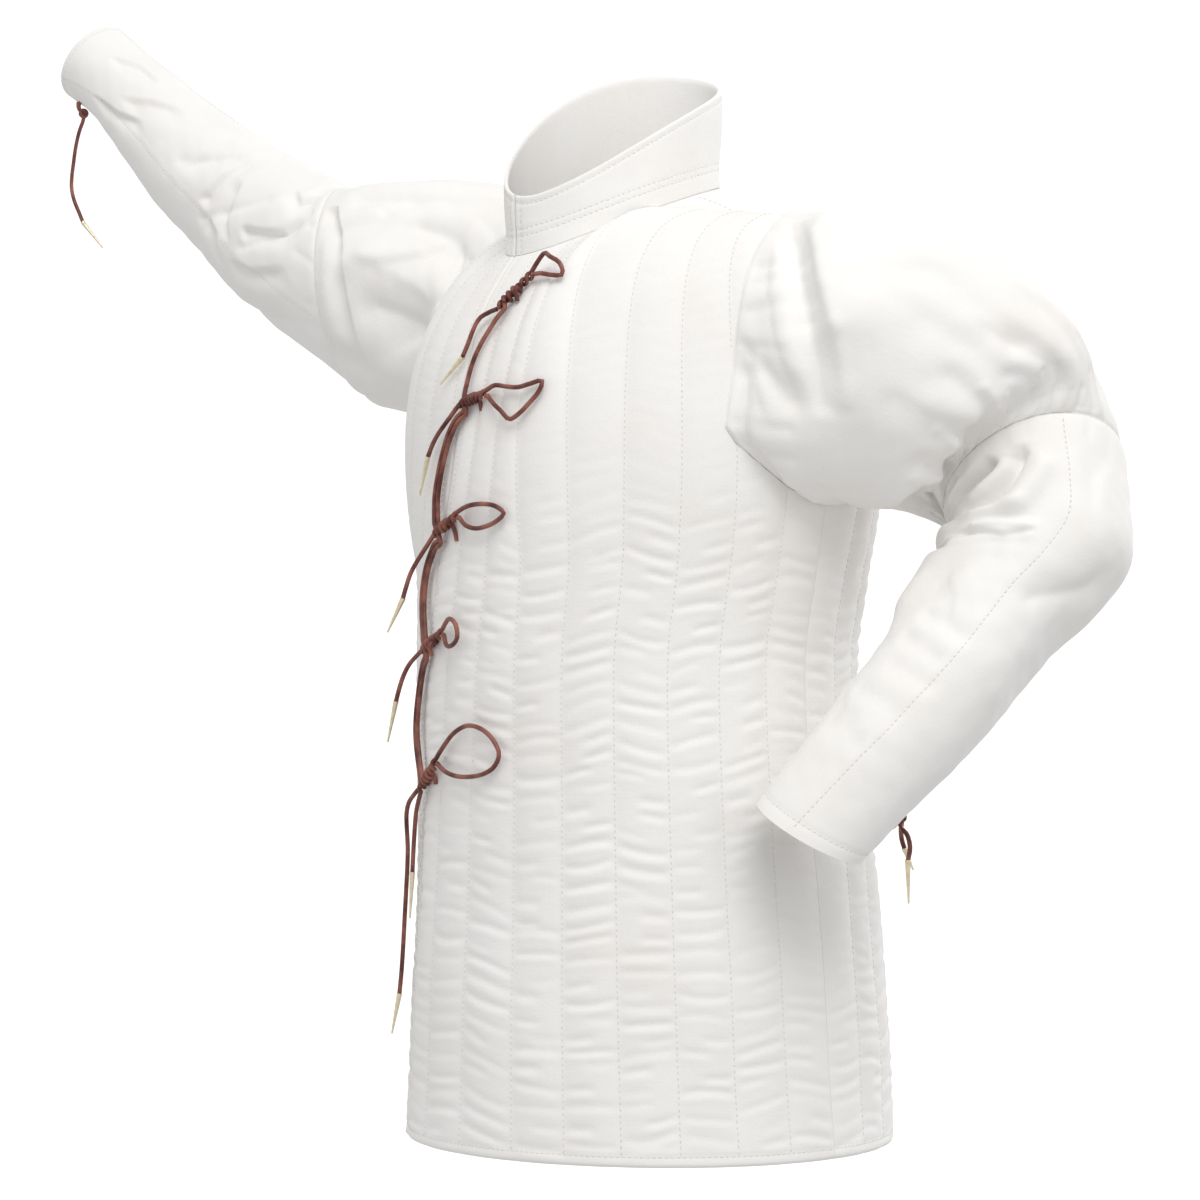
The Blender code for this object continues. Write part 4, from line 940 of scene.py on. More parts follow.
# %% [markdown]
# ## The sleeves
# The upper sleeve is cut much fuller than the arm and gathered at both ends, so it stands out
# as a puff with tucks that run from its seams.  The lower sleeve is fitted, and creases where
# the elbow bends.  The rings of the solid are repeated here and drawn finer, then the same
# folds lift them, and the smaller creases and gathers come on top.

# %% The sleeves' rings
def scoop_reach(armhole, angle):
    if math.sin(angle) >= 0.0:
        return ARMHOLE_TOP
    return 1.0 / math.hypot(math.cos(angle) / armhole.scoop_width,
                            math.sin(angle) / armhole.scoop_depth)


def seam_ring(armhole, tree, count):
    """The armhole's edge on the body's outer face, anticlockwise seen from outside."""
    up, side = armhole_axes(armhole)
    ring = []
    for k in range(count):
        angle = 2.0 * math.pi * k / count
        ray = side * math.cos(angle) + up * math.sin(angle)
        limit = scoop_reach(armhole, angle)
        hit = tree.ray_cast(armhole.middle, ray, limit)[0]
        if hit is None:
            edge = armhole.middle + ray * limit
            hit = tree.ray_cast(edge, armhole.outward, 0.12)[0]
            hit = hit if hit is not None else edge
        ring.append(hit + armhole.outward * SEAM_GAP * 2)
    return ring


def sleeve_base(start_ring, start, up, rings, end_axis, per_ring):
    """Rings drawn through the start and the table's rings, and the last ring's frame."""
    count = len(start_ring)
    middles = [start] + [Vector(ring[:3]) for ring in rings]
    stations = [start_ring]
    for i, ring in enumerate(rings, 1):
        last = i == len(rings)
        ahead = end_axis if last else (middles[i + 1] - middles[i - 1]).normalized()
        up = (up - ahead * up.dot(ahead)).normalized()
        side = up.cross(ahead)
        turns = [2.0 * math.pi * k / count for k in range(count)]
        stations.append([middles[i] + side * ring.side_radius * math.cos(a)
                         + up * ring.up_radius * math.sin(a) for a in turns])
    grid = []
    for j in range(len(rings) * per_ring + 1):
        place = min(j / per_ring, len(rings) + 1 - 1e-9)
        grid.append([through([s[k] for s in stations], place) for k in range(count)])
    return grid, (middles[-1], up)


def pushed_clear(point, tree, clearance):
    near, normal, _, _ = tree.find_nearest(point)
    if (point - near).dot(normal) >= clearance:
        return point
    return near + normal * clearance


def kept_beyond(rings, middle, axis):
    for j, ring in enumerate(rings, 1):
        for k, point in enumerate(ring):
            short = ELBOW_STEP * j - (point - middle).dot(axis)
            if short > 0.0:
                ring[k] = point + axis * short


def settled_clear(grid, tree):
    count = len(grid[0])
    for settle in range(SETTLE_PASSES + 1):
        pushed = set()
        for j, ring in enumerate(grid[1:-1], 1):
            for k, point in enumerate(ring):
                ring[k] = pushed_clear(point, tree, min(0.0015 + 0.004 * j, 0.010))
                if ring[k] is not point:
                    pushed |= {(min(max(j + dj, 1), len(grid) - 2), (k + dk) % count)
                               for dj in (-2, -1, 0, 1, 2) for dk in (-2, -1, 0, 1, 2)}
        if settle == SETTLE_PASSES:
            break
        evened = {}
        for j, k in sorted(pushed):
            near = grid[j - 1][k] + grid[j + 1][k] + grid[j][k - 1] + grid[j][(k + 1) % count]
            evened[j, k] = blend(grid[j][k], near / 4, 0.5)
        for (j, k), point in evened.items():
            grid[j][k] = point


def evened_along(grid, first, last):
    for _ in range(EVEN_PASSES):
        middles = {j: [blend(point, (grid[j - 1][k] + grid[j + 1][k]) / 2, 0.5)
                       for k, point in enumerate(grid[j])] for j in range(first, last + 1)}
        for j, ring in middles.items():
            grid[j] = ring


def upper_rings(armhole, rings, end_axis):
    """The upper sleeve's rings, and the place and turn of the elbow seam."""
    start = seam_ring(armhole, body_tree, UPPER_POINTS)
    grid, elbow = sleeve_base(start, armhole.middle, armhole_axes(armhole)[0], rings,
                              end_axis, 3)
    settled_clear(grid, body_tree)
    kept_beyond(grid[-2:-5:-1], elbow[0], -end_axis)
    evened_along(grid, 6, len(grid) - 2)
    return grid, elbow


def lower_rings(upper_end, elbow, axis, end_axis, rings):
    middle, up = elbow
    start = [through(upper_end + upper_end[:2], k * UPPER_POINTS / LOWER_POINTS)
             + axis * SEAM_GAP for k in range(LOWER_POINTS)]
    grid, _ = sleeve_base(start, middle, up, rings, end_axis, 2)
    for ring in grid[1:]:
        for k, point in enumerate(ring):
            ring[k] = pushed_clear(point, body_tree, 0.003)
    kept_beyond(grid[1:4], middle, axis)
    return grid


# %% Finer rings
def curve_along(values, places, closed):
    """Smooth curve through an array's first axis, read at many places at once."""
    count = len(values)
    i = np.floor(places).astype(int)
    if not closed:
        i = np.minimum(i, count - 2)
        values = np.concatenate([values[:1] * 2 - values[1:2], values,
                                 values[-1:] * 2 - values[-2:-1]])
        p0, p1, p2, p3 = (values[i + k] for k in range(4))
    else:
        p0, p1, p2, p3 = (values[(i + k) % count] for k in (-1, 0, 1, 2))
    s = (places - i).reshape(-1, *([1] * (values.ndim - 1)))
    return (p1 * 2 + (p2 - p0) * s + (p0 * 2 - p1 * 5 + p2 * 4 - p3) * s * s
            + (p1 * 3 - p0 - p2 * 3 + p3) * s ** 3) * 0.5


def finer(grid, rows, columns):
    grid = curve_along(np.array(grid), np.linspace(0.0, len(grid) - 1, rows), False)
    around = np.arange(columns) * grid.shape[1] / columns
    return curve_along(grid.swapaxes(0, 1), around, True).swapaxes(0, 1)


def sleeve_size(grid):
    """Length along the middle line and girth at the start, as the folds count them."""
    middles = [sum(ring, Vector()) / len(ring) for ring in grid]
    length = sum((b - a).length for a, b in zip(middles, middles[1:]))
    girth = 2.0 * math.pi * sum((p - middles[0]).length for p in grid[0]) / len(grid[0])
    return length, girth


# %% [markdown]
# ### Folds
# A fold is a straight line on the flat sleeve, with a width and a height: a ridge where the
# height is more than nothing and a trough where it is less.  The tables hold the main folds,
# and rows of smaller gathers run in from the seams at uneven steps.

# %% Tables of folds
# Whole numbers: thousandths of the sleeve's length and girth for the places, tenths of a
# millimetre for the widths, heights and depths.
Fold = namedtuple("Fold", "along_0 round_0 along_1 round_1 width height")


def folds(*rows):
    """Straight folds, from one row of whole numbers each."""
    return tuple(Fold(*scaled(row[:4], 1000), *scaled(row[4:], 10000)) for row in rows)


FOLDS = {
    "left_upper": folds(
        (170, 330, 300, 460, 200, 60), (300, 460, 400, 560, 200, 40), (80, 505, 200, 560, 160, -50),
        (70, 430, 150, 520, 130, 40), (410, 390, 620, 425, 130, -40), (620, 425, 880, 405, 120, -50),
        (430, 455, 660, 475, 120, -30), (660, 475, 930, 452, 100, -40), (510, 500, 740, 540, 90, -40),
        (500, 540, 640, 548, 150, 40), (580, 562, 820, 562, 120, -60), (550, 612, 920, 630, 120, -45),
        (720, 700, 920, 705, 160, -60), (680, 270, 900, 280, 150, -50), (660, 140, 880, 130, 150, -50),
        (640, 20, 880, 30, 150, -50), (600, 880, 880, 870, 150, -60), (100, 180, 340, 200, 200, -60),
        (100, 60, 300, 40, 200, -50)),
    "right_upper": folds(
        (120, 80, 460, 110, 200, -70), (140, 30, 500, 50, 200, 60), (160, 960, 520, 990, 180, -60),
        (120, 880, 420, 900, 200, 50), (400, 170, 720, 160, 180, -60), (600, 115, 740, 100, 150, -40),
        (580, 60, 680, 50, 150, 40), (600, 900, 880, 915, 150, -50), (640, 800, 900, 810, 160, -50),
        (620, 250, 900, 240, 160, -50), (600, 380, 880, 375, 160, -60), (620, 520, 880, 530, 160, -50),
        (620, 660, 880, 655, 160, -60), (100, 420, 380, 400, 200, -60), (100, 600, 360, 620, 200, -50)),
    "left_lower": folds(
        (90, 465, 190, 530, 100, -40), (80, 525, 120, 610, 90, -40), (100, 500, 165, 565, 90, 50),
        (110, 438, 200, 480, 120, 50), (200, 480, 235, 560, 100, 40), (45, 545, 85, 640, 100, 50),
        (255, 640, 275, 730, 120, 80), (390, 650, 520, 640, 300, 110), (320, 230, 520, 180, 400, -70),
        (100, 700, 260, 780, 150, -50), (300, 250, 380, 330, 160, -30), (360, 480, 440, 590, 160, -40),
        (500, 550, 580, 640, 160, -30)),
    "right_lower": folds(
        (80, 130, 200, 20, 150, -20), (120, 180, 260, 70, 160, 20), (240, 120, 360, 0, 150, -20),
        (100, 900, 240, 800, 150, -40), (400, 160, 500, 80, 160, -30), (140, 520, 260, 600, 160, -40)),
}

# The sharper lines inside the main folds, and short tucks between them.
CREASES = {
    "left_upper": folds(
        (80, 345, 190, 470, 55, -26), (190, 470, 265, 560, 60, -20), (155, 355, 262, 475, 60, 30),
        (262, 475, 312, 550, 60, 24), (50, 503, 170, 560, 55, -22), (600, 500, 720, 524, 48, 26),
        (720, 524, 930, 508, 48, 22), (540, 562, 640, 580, 50, 26), (640, 580, 920, 590, 50, 22),
        (560, 635, 920, 652, 60, 22), (600, 660, 880, 675, 50, -26), (900, 695, 990, 722, 60, -30),
        (100, 500, 110, 720, 200, 55), (740, 640, 900, 690, 200, 75)),
    "right_upper": folds(
        (100, 85, 440, 112, 60, -26), (120, 965, 500, 992, 60, -22), (420, 172, 700, 160, 55, -20),
        (300, 20, 600, 60, 60, 14)),
    "left_lower": folds(
        (256, 440, 282, 545, 50, 34), (285, 435, 335, 590, 70, 34), (556, 515, 561, 409, 85, -34),
        (618, 525, 628, 422, 85, -30), (679, 498, 677, 397, 85, -20), (747, 538, 750, 409, 85, -22),
        (815, 560, 825, 440, 85, -20), (300, 250, 400, 340, 65, -14)),
    "right_lower": folds(
        (50, 140, 210, 10, 50, -26), (220, 125, 370, -10, 55, -22), (80, 910, 240, 800, 55, -20),
        (400, 165, 520, 70, 65, -14)),
}

# A pleat is a bent line on the flat sleeve, through its spots (along, round): the cloth drops
# over a crisp edge on one side of it and rises softly over the other.
Pleat = namedtuple("Pleat", "crisp soft depth spots")


def pleats(*rows):
    return tuple(Pleat(*scaled(row[:3], 10000), scaled(row[3:], 1000)) for row in rows)


PLEATS = {
    "left_upper": pleats(
        (50, 130, 70, (268, 575), (235, 520), (190, 470), (135, 410), (85, 345), (50, 300)),
        (38, 140, 50, (60, 300), (145, 362), (198, 430), (243, 475), (270, 512), (292, 550)),
        (46, 140, 34, (30, 335), (48, 394), (96, 464), (156, 530), (205, 580)),
        (50, 140, 32, (12, 470), (70, 548), (120, 588)),
        (46, 110, 30, (960, 474), (780, 498), (640, 490)),
        (46, 140, 36, (930, 572), (760, 580), (590, 562)),
        (50, 120, 26, (950, 640), (760, 632), (560, 612)),
        (50, 100, 60, (860, 685), (930, 705), (985, 725)),
        (75, 180, 34, (480, 430), (665, 438), (900, 415)),
        (75, 180, 32, (560, 350), (733, 349), (930, 352)),
        (80, 180, 28, (360, 538), (468, 549), (576, 562)), (70, 180, 36, (620, 270), (940, 262)),
        (60, 160, 42, (600, 180), (950, 172)), (60, 160, 38, (660, 95), (950, 80)),
        (60, 160, 42, (560, 960), (950, 965)), (60, 160, 40, (620, 860), (950, 870)),
        (55, 120, 55, (20, 500), (45, 560), (50, 640), (30, 720)),
        (60, 180, 36, (40, 200), (300, 215)), (60, 180, 40, (50, 90), (340, 60)),
        (60, 180, 36, (60, 940), (260, 960))),
    "right_upper": pleats(
        (30, 200, 85, (950, 140), (863, 140), (697, 60), (638, 983), (568, 873)),
        (60, 180, 44, (606, 43), (474, 48), (379, 65), (300, 110)),
        (50, 140, 34, (620, 130), (565, 148), (480, 170)),
        (50, 140, 50, (290, 105), (206, 72), (110, 50)),
        (50, 140, 40, (150, 35), (206, 30), (330, 985)),
        (60, 160, 38, (200, 985), (304, 971), (440, 930)), (60, 180, 38, (40, 880), (300, 860)),
        (60, 180, 36, (50, 740), (320, 760)), (60, 180, 40, (40, 230), (280, 240)),
        (60, 180, 38, (50, 330), (330, 310)), (60, 160, 40, (620, 280), (950, 270)),
        (60, 160, 42, (580, 450), (950, 460)), (60, 160, 38, (640, 590), (950, 585)),
        (60, 160, 42, (600, 730), (950, 740))),
    "left_lower": pleats(
        (30, 120, 92, (50, 462), (78, 463), (120, 482), (143, 496), (188, 525), (208, 563), (212, 600)),
        (28, 100, 90, (68, 512), (80, 525), (98, 537), (118, 565), (120, 630)),
        (70, 130, 36, (262, 560), (252, 475), (222, 455), (180, 438), (140, 420), (90, 395)),
        (40, 120, 60, (300, 620), (305, 540), (303, 478), (285, 450), (266, 420)),
        (42, 100, 64, (328, 740), (333, 670), (330, 580)),
        (70, 160, 22, (440, 560), (501, 492), (560, 460)),
        (46, 120, 50, (50, 700), (160, 760), (260, 770)),
        (55, 130, 40, (120, 860), (220, 820), (320, 740)),
        (60, 140, 26, (60, 300), (110, 340), (190, 350)),
        (60, 140, 26, (80, 80), (180, 100), (260, 60)),
        (70, 140, 18, (760, 620), (800, 540), (790, 470))),
    "right_lower": pleats(
        (34, 130, 59, (395, 20), (380, 51), (370, 118), (355, 235)),
        (34, 120, 53, (352, 3), (310, 991), (270, 930)),
        (33, 120, 64, (330, 130), (305, 45), (254, 1000)),
        (33, 120, 64, (230, 40), (215, 48), (114, 77), (70, 130)),
        (34, 130, 56, (230, 965), (162, 975), (80, 15)),
        (34, 130, 53, (180, 170), (120, 150), (50, 190)),
        (44, 160, 48, (834, 140), (766, 205), (710, 197)),
        (44, 160, 45, (730, 60), (677, 130), (620, 185)),
        (34, 130, 53, (800, 990), (714, 25), (660, 70)),
        (48, 160, 31, (500, 50), (460, 130), (470, 210)),
        (34, 130, 56, (60, 420), (150, 500), (170, 600)),
        (41, 140, 48, (220, 420), (260, 520), (250, 640)),
        (41, 140, 48, (60, 760), (130, 700), (240, 720)),
        (48, 160, 31, (560, 420), (600, 500), (590, 600))),
}
Gathers = namedtuple("Gathers", "count seed start shortest longest width height")


# %% Folding
PLEAT_RISES, PLEAT_FADES = (-0.02, 0.22), (0.72, 1.04)     # shares of a pleat's way
SEAM_RIDGE, SEAM_RIDGE_WIDTH, SEAM_DENT = 0.0003, 0.0028, 0.5
START_BLEND, CREASE_EDGE = 0.14, 0.006
SOFT_WAVES = ((0.0007, 0.075), (0.00030, 0.021))           # heights and sizes of soft hills


def turned(turns):
    """The shorter way round, from half a turn back to half a turn on."""
    return (turns + 0.5) % 1.0 - 0.5


def off_stretch(start, end, size, along, around):
    """Metres from a stretch on the flat sleeve, the share walked along it, and its side."""
    reach = ((end[0] - start[0]) * size[0], turned(end[1] - start[1]) * size[1])
    place = ((along - start[0]) * size[0], turned(around - start[1]) * size[1])
    share = (place[0] * reach[0] + place[1] * reach[1]) / (reach[0] ** 2 + reach[1] ** 2)
    share = np.clip(share, 0.0, 1.0)
    aside = np.hypot(place[0] - reach[0] * share, place[1] - reach[1] * share)
    return aside, share, reach[0] * place[1] - reach[1] * place[0]


def fold_heights(table, *where):
    """How far a table's folds lift every place of a sleeve."""
    height = 0.0
    for fold in table:
        aside = off_stretch(fold[:2], fold[2:4], *where)[0]
        height = height + fold.height * np.exp(-(aside / fold.width) ** 2)
    return height


def pleat_heights(table, *where):
    """How far a table's pleats drop every place of a sleeve."""
    height = 0.0
    for pleat in table:
        nearest, walked_share, side = 1.0, 0.0, 0.0
        last = len(pleat.spots) - 1
        for k in range(last):
            aside, share, turn = off_stretch(pleat.spots[k], pleat.spots[k + 1], *where)
            closer = aside < nearest
            nearest = np.where(closer, aside, nearest)
            side = np.where(closer, turn, side)
            walked_share = np.where(closer, (k + share) / last, walked_share)
        fade = soft_step(walked_share, *PLEAT_RISES) * (1.0 - soft_step(walked_share, *PLEAT_FADES))
        width = np.where(side > 0.0, pleat.soft, pleat.crisp)
        height = height - pleat.depth * fade * np.exp(-(nearest / width) ** 2)
    return height


def gathers(rule, size):
    """Small tucks that run in from a seam, uneven in place, length, lean and depth."""
    draw = random.Random(rule.seed)
    tucks = []
    for k in range(rule.count):
        around = (k + draw.uniform(-0.32, 0.32)) / rule.count
        reach = draw.uniform(rule.shortest, rule.longest) / size[0]
        end = rule.start + (reach if rule.start < 0.5 else -reach)
        lean = draw.gauss(0.0, 0.008)
        tucks.append(Fold(rule.start, around, end, around + lean,
                          rule.width * draw.uniform(0.8, 1.3),
                          rule.height * draw.uniform(0.4, 1.2)))
    return tucks


Sleeve = namedtuple("Sleeve", "piece grid normals size")


def seam_round(seam, along):
    """Where a lengthwise seam runs round the sleeve, at each place along it."""
    return np.interp(along, *zip(*seam))


def dress_sleeve(name, rings, shape, tucks, ends, closing, seams=(), start_shift=None,
                 stitched_at=None):
    """A sleeve from its rings: folds, creases, dents at its seams, and its lining."""
    size = sleeve_size(rings)
    rows, columns = shape
    grid = finer(rings, rows, columns)
    along = np.linspace(0.0, 1.0, rows)[:, None]
    around = (np.arange(columns) / columns)[None, :]
    if start_shift is not None:
        grid = grid + start_shift * (1.0 - soft_step(along, 0.0, START_BLEND))[..., None]
    normals = grid_normals(grid, True)
    from_end = np.minimum(along, 1.0 - along)
    ramp = np.clip(from_end * (len(rings) - 1), 0.0, 1.0)
    where = size, along, around
    lift = fold_heights(FOLDS[name], *where) * ramp
    small = fold_heights(CREASES[name] + tucks, *where) + pleat_heights(PLEATS[name], *where)
    lift = lift + small * soft_step(from_end * size[0], 0.0, CREASE_EDGE)
    for (rise, spread), seed in zip(SOFT_WAVES, (len(name) + 7, 7)):
        lift = lift + rise * soft_noise(grid, spread, seed) * ramp
    for place, rise, reach in ends:
        away = np.abs(along - place) * size[0] / reach
        lift = lift + rise * away * np.exp(1.0 - away)
    if stitched_at is not None:
        lift = lift + groove((along - stitched_at) * size[0])
    for seam in seams:
        aside = turned(around - seam_round(seam, along)) * size[1]
        lift = lift + SEAM_DENT * groove(aside)
        lift = lift + SEAM_RIDGE * np.exp(-(aside / SEAM_RIDGE_WIDTH - 1.5) ** 2)
    outer = grid + normals * lift[..., None]
    for end, inside, reach in ((0, 1, closing[0]), (-1, -2, closing[1])):
        outer[end] += unit(outer[end] - outer[inside]) * reach
    lining = (outer - normals * SLEEVE_WALL)[::2, ::2]
    piece = cloth_wall("draped_%s_sleeve" % name, outer, lining, True, (cotton, lining_cotton))
    cloth_pieces[name + "_sleeve"] = piece
    print(piece.name, "triangles:", triangles(piece), "length and girth:",
          [round(v, 3) for v in size])
    return Sleeve(piece, outer, grid_normals(outer, True), size)


# %% Sizes of the sleeves' cloth
UPPER_SHAPE, LOWER_SHAPE = (161, 216), (217, 180)
# How the cloth swells beside a seam: place along, rise and the way to its crest.
ARMHOLE_SWELL, ELBOW_SWELL = (0.0, 0.0022, 0.0070), (1.0, 0.0026, 0.0065)
LOWER_SWELL = (0.0, 0.0024, 0.0065)
CUFF_STITCH = 0.0085
ARMHOLE_GATHERS = Gathers(24, 11, 0.0, 0.022, 0.070, 0.0050, -0.0020)
ELBOW_GATHERS = {"left": Gathers(44, 23, 1.0, 0.016, 0.060, 0.0044, -0.0024),
                 "right": Gathers(30, 23, 1.0, 0.014, 0.045, 0.0050, -0.0004)}
LOWER_GATHERS = Gathers(18, 31, 0.0, 0.010, 0.032, 0.0048, -0.0012)
ARMHOLE_CLOSING, SEAM_CLOSING = 0.0008, 0.0002
SEAMS = {"left": (((0.0, 0.385), (0.43, 0.391), (0.79, 0.400), (1.0, 0.438)),),
         "right": (((0.0, 0.950), (0.357, 1.003), (0.642, 1.027), (1.0, 0.950)),
                   ((0.0, 0.36), (0.5, 0.31), (1.0, 0.30)))}

# %% The four sleeves
fine_tree = search_tree([body_grids[panel.name].outer for panel in PANELS])


def start_shifts(armhole, rings):
    """What moves the start of a sleeve from the plain body face to the fine one."""
    count = UPPER_SHAPE[1]
    return np.array(seam_ring(armhole, fine_tree, count)) - finer(rings, 2, count)[0]


sleeves, cuff_rings = {}, {}
for arm in ARMS:
    upper, lower = arm.side + "_upper", arm.side + "_lower"
    high, elbow = upper_rings(arm.armhole, arm.upper, arm.elbow_axis)
    low = lower_rings(high[-1], elbow, arm.elbow_axis, arm.cuff_axis, arm.lower)
    cuff_rings[arm.side] = low
    size = sleeve_size(high)
    tucks = gathers(ARMHOLE_GATHERS, size) + gathers(ELBOW_GATHERS[arm.side], size)
    sleeves[upper] = dress_sleeve(
        upper, high, UPPER_SHAPE, tuple(tucks), (ARMHOLE_SWELL, ELBOW_SWELL),
        (ARMHOLE_CLOSING, SEAM_CLOSING), start_shift=start_shifts(arm.armhole, high))
    size = sleeve_size(low)
    sleeves[lower] = dress_sleeve(
        lower, low, LOWER_SHAPE, tuple(gathers(LOWER_GATHERS, size)), (LOWER_SWELL,),
        (SEAM_CLOSING, 0.0), SEAMS[arm.side], stitched_at=1.0 - CUFF_STITCH / size[0])


# %% Sewing on the sleeves
SEAM_ROLL, ROLL_SINK = 0.0015, 0.0008


def cuff_stitches(sleeve):
    """A row of stitches round a sleeve, beside its end."""
    rows, columns = sleeve.grid.shape[:2]
    row = (rows - 1) - CUFF_STITCH / sleeve.size[0] * (rows - 1)
    places = np.linspace(0.0, columns - 0.001, 400)
    return on_grid(sleeve.grid, sleeve.normals, np.full_like(places, row), places, True)


def seam_stitches(sleeve, seam):
    """A row of stitches along a lengthwise seam."""
    rows, columns = sleeve.grid.shape[:2]
    along = np.linspace(0.012, 0.988, 400)
    return on_grid(sleeve.grid, sleeve.normals, along * (rows - 1),
                   seam_round(seam, along) * columns, True)


def seam_roll(name, sleeve, row):
    """The turned edges inside a sleeve's seam, which fill the gap between the pieces."""
    line = sleeve.grid[row] - sleeve.normals[row] * ROLL_SINK
    strands(name, [line], SEAM_ROLL, cotton, True)


for arm in ARMS:
    seam_roll(arm.side + "_armhole_seam", sleeves[arm.side + "_upper"], 0)
    seam_roll(arm.side + "_elbow_seam", sleeves[arm.side + "_upper"], -1)
    lower = sleeves[arm.side + "_lower"]
    stitched(arm.side + "_lower_stitches",
             [cuff_stitches(lower)] + [seam_stitches(lower, seam) for seam in SEAMS[arm.side]])


# %% [markdown]
# ## The collar
# The collar is two layers of cotton, stiff enough to stand.  Its top edge is turned and
# stitched, its front edges too, and a band is sewn double above the neck seam.

# %% Sizes of the collar
COLLAR_COLUMNS = 16
COLLAR_ROWS = 45
COLLAR_EDGE_SPOTS = (0.0, 0.0004, 0.0010, 0.0018)  # metres below the top edge
COLLAR_EDGE, COLLAR_ROUND = 0.0028, 0.0021         # the last even row, and the edge's round
COLLAR_TOP_STITCH, COLLAR_FRONT_STITCH = 0.0065, 0.0080
COLLAR_BAND = (0.0165, 0.0225)


# %% Collar
def neck_places():
    step = 1.0 / COLLAR_COLUMNS
    back_middle = LEFT_CHANNELS + BACK_CHANNELS / 2
    stretches = ((0.0, LEFT_NECK_CHANNELS),
                 (back_middle - BACK_NECK_CHANNELS + step, back_middle + BACK_NECK_CHANNELS),
                 (ALL_CHANNELS - RIGHT_NECK_CHANNELS + step, ALL_CHANNELS))
    places = []
    for first, last in stretches:
        places += [first + i * step for i in range(round((last - first) / step) + 1)]
    shift = edge_shift(0.0, 2.0, FRONT_GAP / 2)
    return [min(max(place, shift), ALL_CHANNELS - shift) for place in places]


def collar_edges(around):
    """The collar's foot and top at a place round the neck, and its way out."""
    base = yoke_top(around)[0]
    a = math.atan2(base.x / NECK_HALF_WIDTH, (NECK_MID_Y - base.y) / NECK_HALF_DEPTH)
    out = Vector((math.sin(a), -math.cos(a), 0.0))
    top = base + out * COLLAR_LEAN
    top.z = (COLLAR_TOP_MID - COLLAR_TOP_BACK * math.cos(a)
             - COLLAR_TOP_RIGHT * math.sin(a) + COLLAR_TOP_SIDES * math.sin(a) ** 2)
    return base, top, out


def dress_collar():
    """The collar's form and outer face, and the distances that its sewing follows."""
    places = neck_places()
    base, top, out = (np.array(part) for part in zip(*map(collar_edges, places)))
    down = np.array([yoke_top(place)[2] for place in places])
    tall = np.linalg.norm(top - base, axis=1)
    even = COLLAR_ROWS - len(COLLAR_EDGE_SPOTS)
    spots = [(1.0 - k / even) * (tall - COLLAR_EDGE) + COLLAR_EDGE for k in range(even)]
    below = np.array(spots + [np.full_like(tall, s) for s in reversed(COLLAR_EDGE_SPOTS)])
    share = 1.0 - below / tall
    grid = base[None] + (top - base)[None] * share[..., None]
    grid[0] += np.array([0.0, 0.0, COLLAR_LIFT])
    above = tall[None] - below
    girth = walked(grid, 1)
    girth = np.minimum(girth, girth[:, -1:] - girth)
    edges = rounded(below, COLLAR_ROUND) + rounded(girth, COLLAR_ROUND)
    relief = groove(below - COLLAR_TOP_STITCH) + groove(girth - COLLAR_FRONT_STITCH) - edges
    relief += 0.6 * sum(groove(above - height) for height in COLLAR_BAND)
    relief += 0.0011 * (soft_noise(grid, 0.065, 3) - 0.6) * soft_step(share, 0.0, 0.3)
    relief[0] = 0.0
    outer = grid + out[None] * relief[..., None]
    turn = np.clip(share / 0.25, 0.0, 1.0)[..., None]
    inward = unit(down[None] * (1.0 - turn) - out[None] * turn)
    lining = grid + inward * (COLLAR_WALL - edges)[..., None]
    cloth_pieces["collar"] = cloth_wall("standing_collar", outer, lining[::2, ::2], False,
                                        (cotton, cotton))
    return Collar(grid, outer, below, above, girth)


Collar = namedtuple("Collar", "form outer below above girth")
collar = dress_collar()
print("collar:", collar.outer.shape[:2], "triangles:", triangles(cloth_pieces["collar"]))


# %% Sewing on the collar
def collar_row(distances, goal):
    """Where a row of stitches crosses each column, for distances that rise or fall."""
    numbers = np.arange(len(distances))
    rising = distances[-1, 0] > distances[0, 0]
    columns = distances.T if rising else distances.T[:, ::-1]
    rows = np.array([np.interp(goal, column, numbers) for column in columns])
    return rows if rising else len(distances) - 1 - rows


def collar_stitches():
    rows_in, columns_in = collar.outer.shape[:2]
    columns = np.arange(columns_in, dtype=float)[3:-3]
    lines = [(collar_row(distances, goal)[3:-3], columns) for distances, goal in (
        (collar.below, COLLAR_TOP_STITCH), (collar.above, COLLAR_BAND[0]),
        (collar.above, COLLAR_BAND[1]))]
    half = columns_in // 2
    rows = np.linspace(1.0, rows_in - 9.0, 120)
    for girth in (collar.girth, collar.girth[:, ::-1]):
        at = np.array([np.interp(COLLAR_FRONT_STITCH, girth[int(r), :half], np.arange(half))
                       for r in rows])
        lines.append((rows, at if girth is collar.girth else columns_in - 1 - at))
    normals = grid_normals(collar.outer, False)
    return [on_grid(collar.outer, normals, *line, False) for line in lines]


stitched("collar_stitches", collar_stitches())


# %% [markdown]
# ## Leather laces
# Round leather laces of four millimetres tie the front in slip knots, each with a loop and a
# short end, and run on to the next knot.  A lace lies on the padding and hangs free past it.
# Each route is a short list of places on the fronts, in millimetres: from the front edge,
# height and lift off the cloth.  The cuffs' places are in tenths of a millimetre.

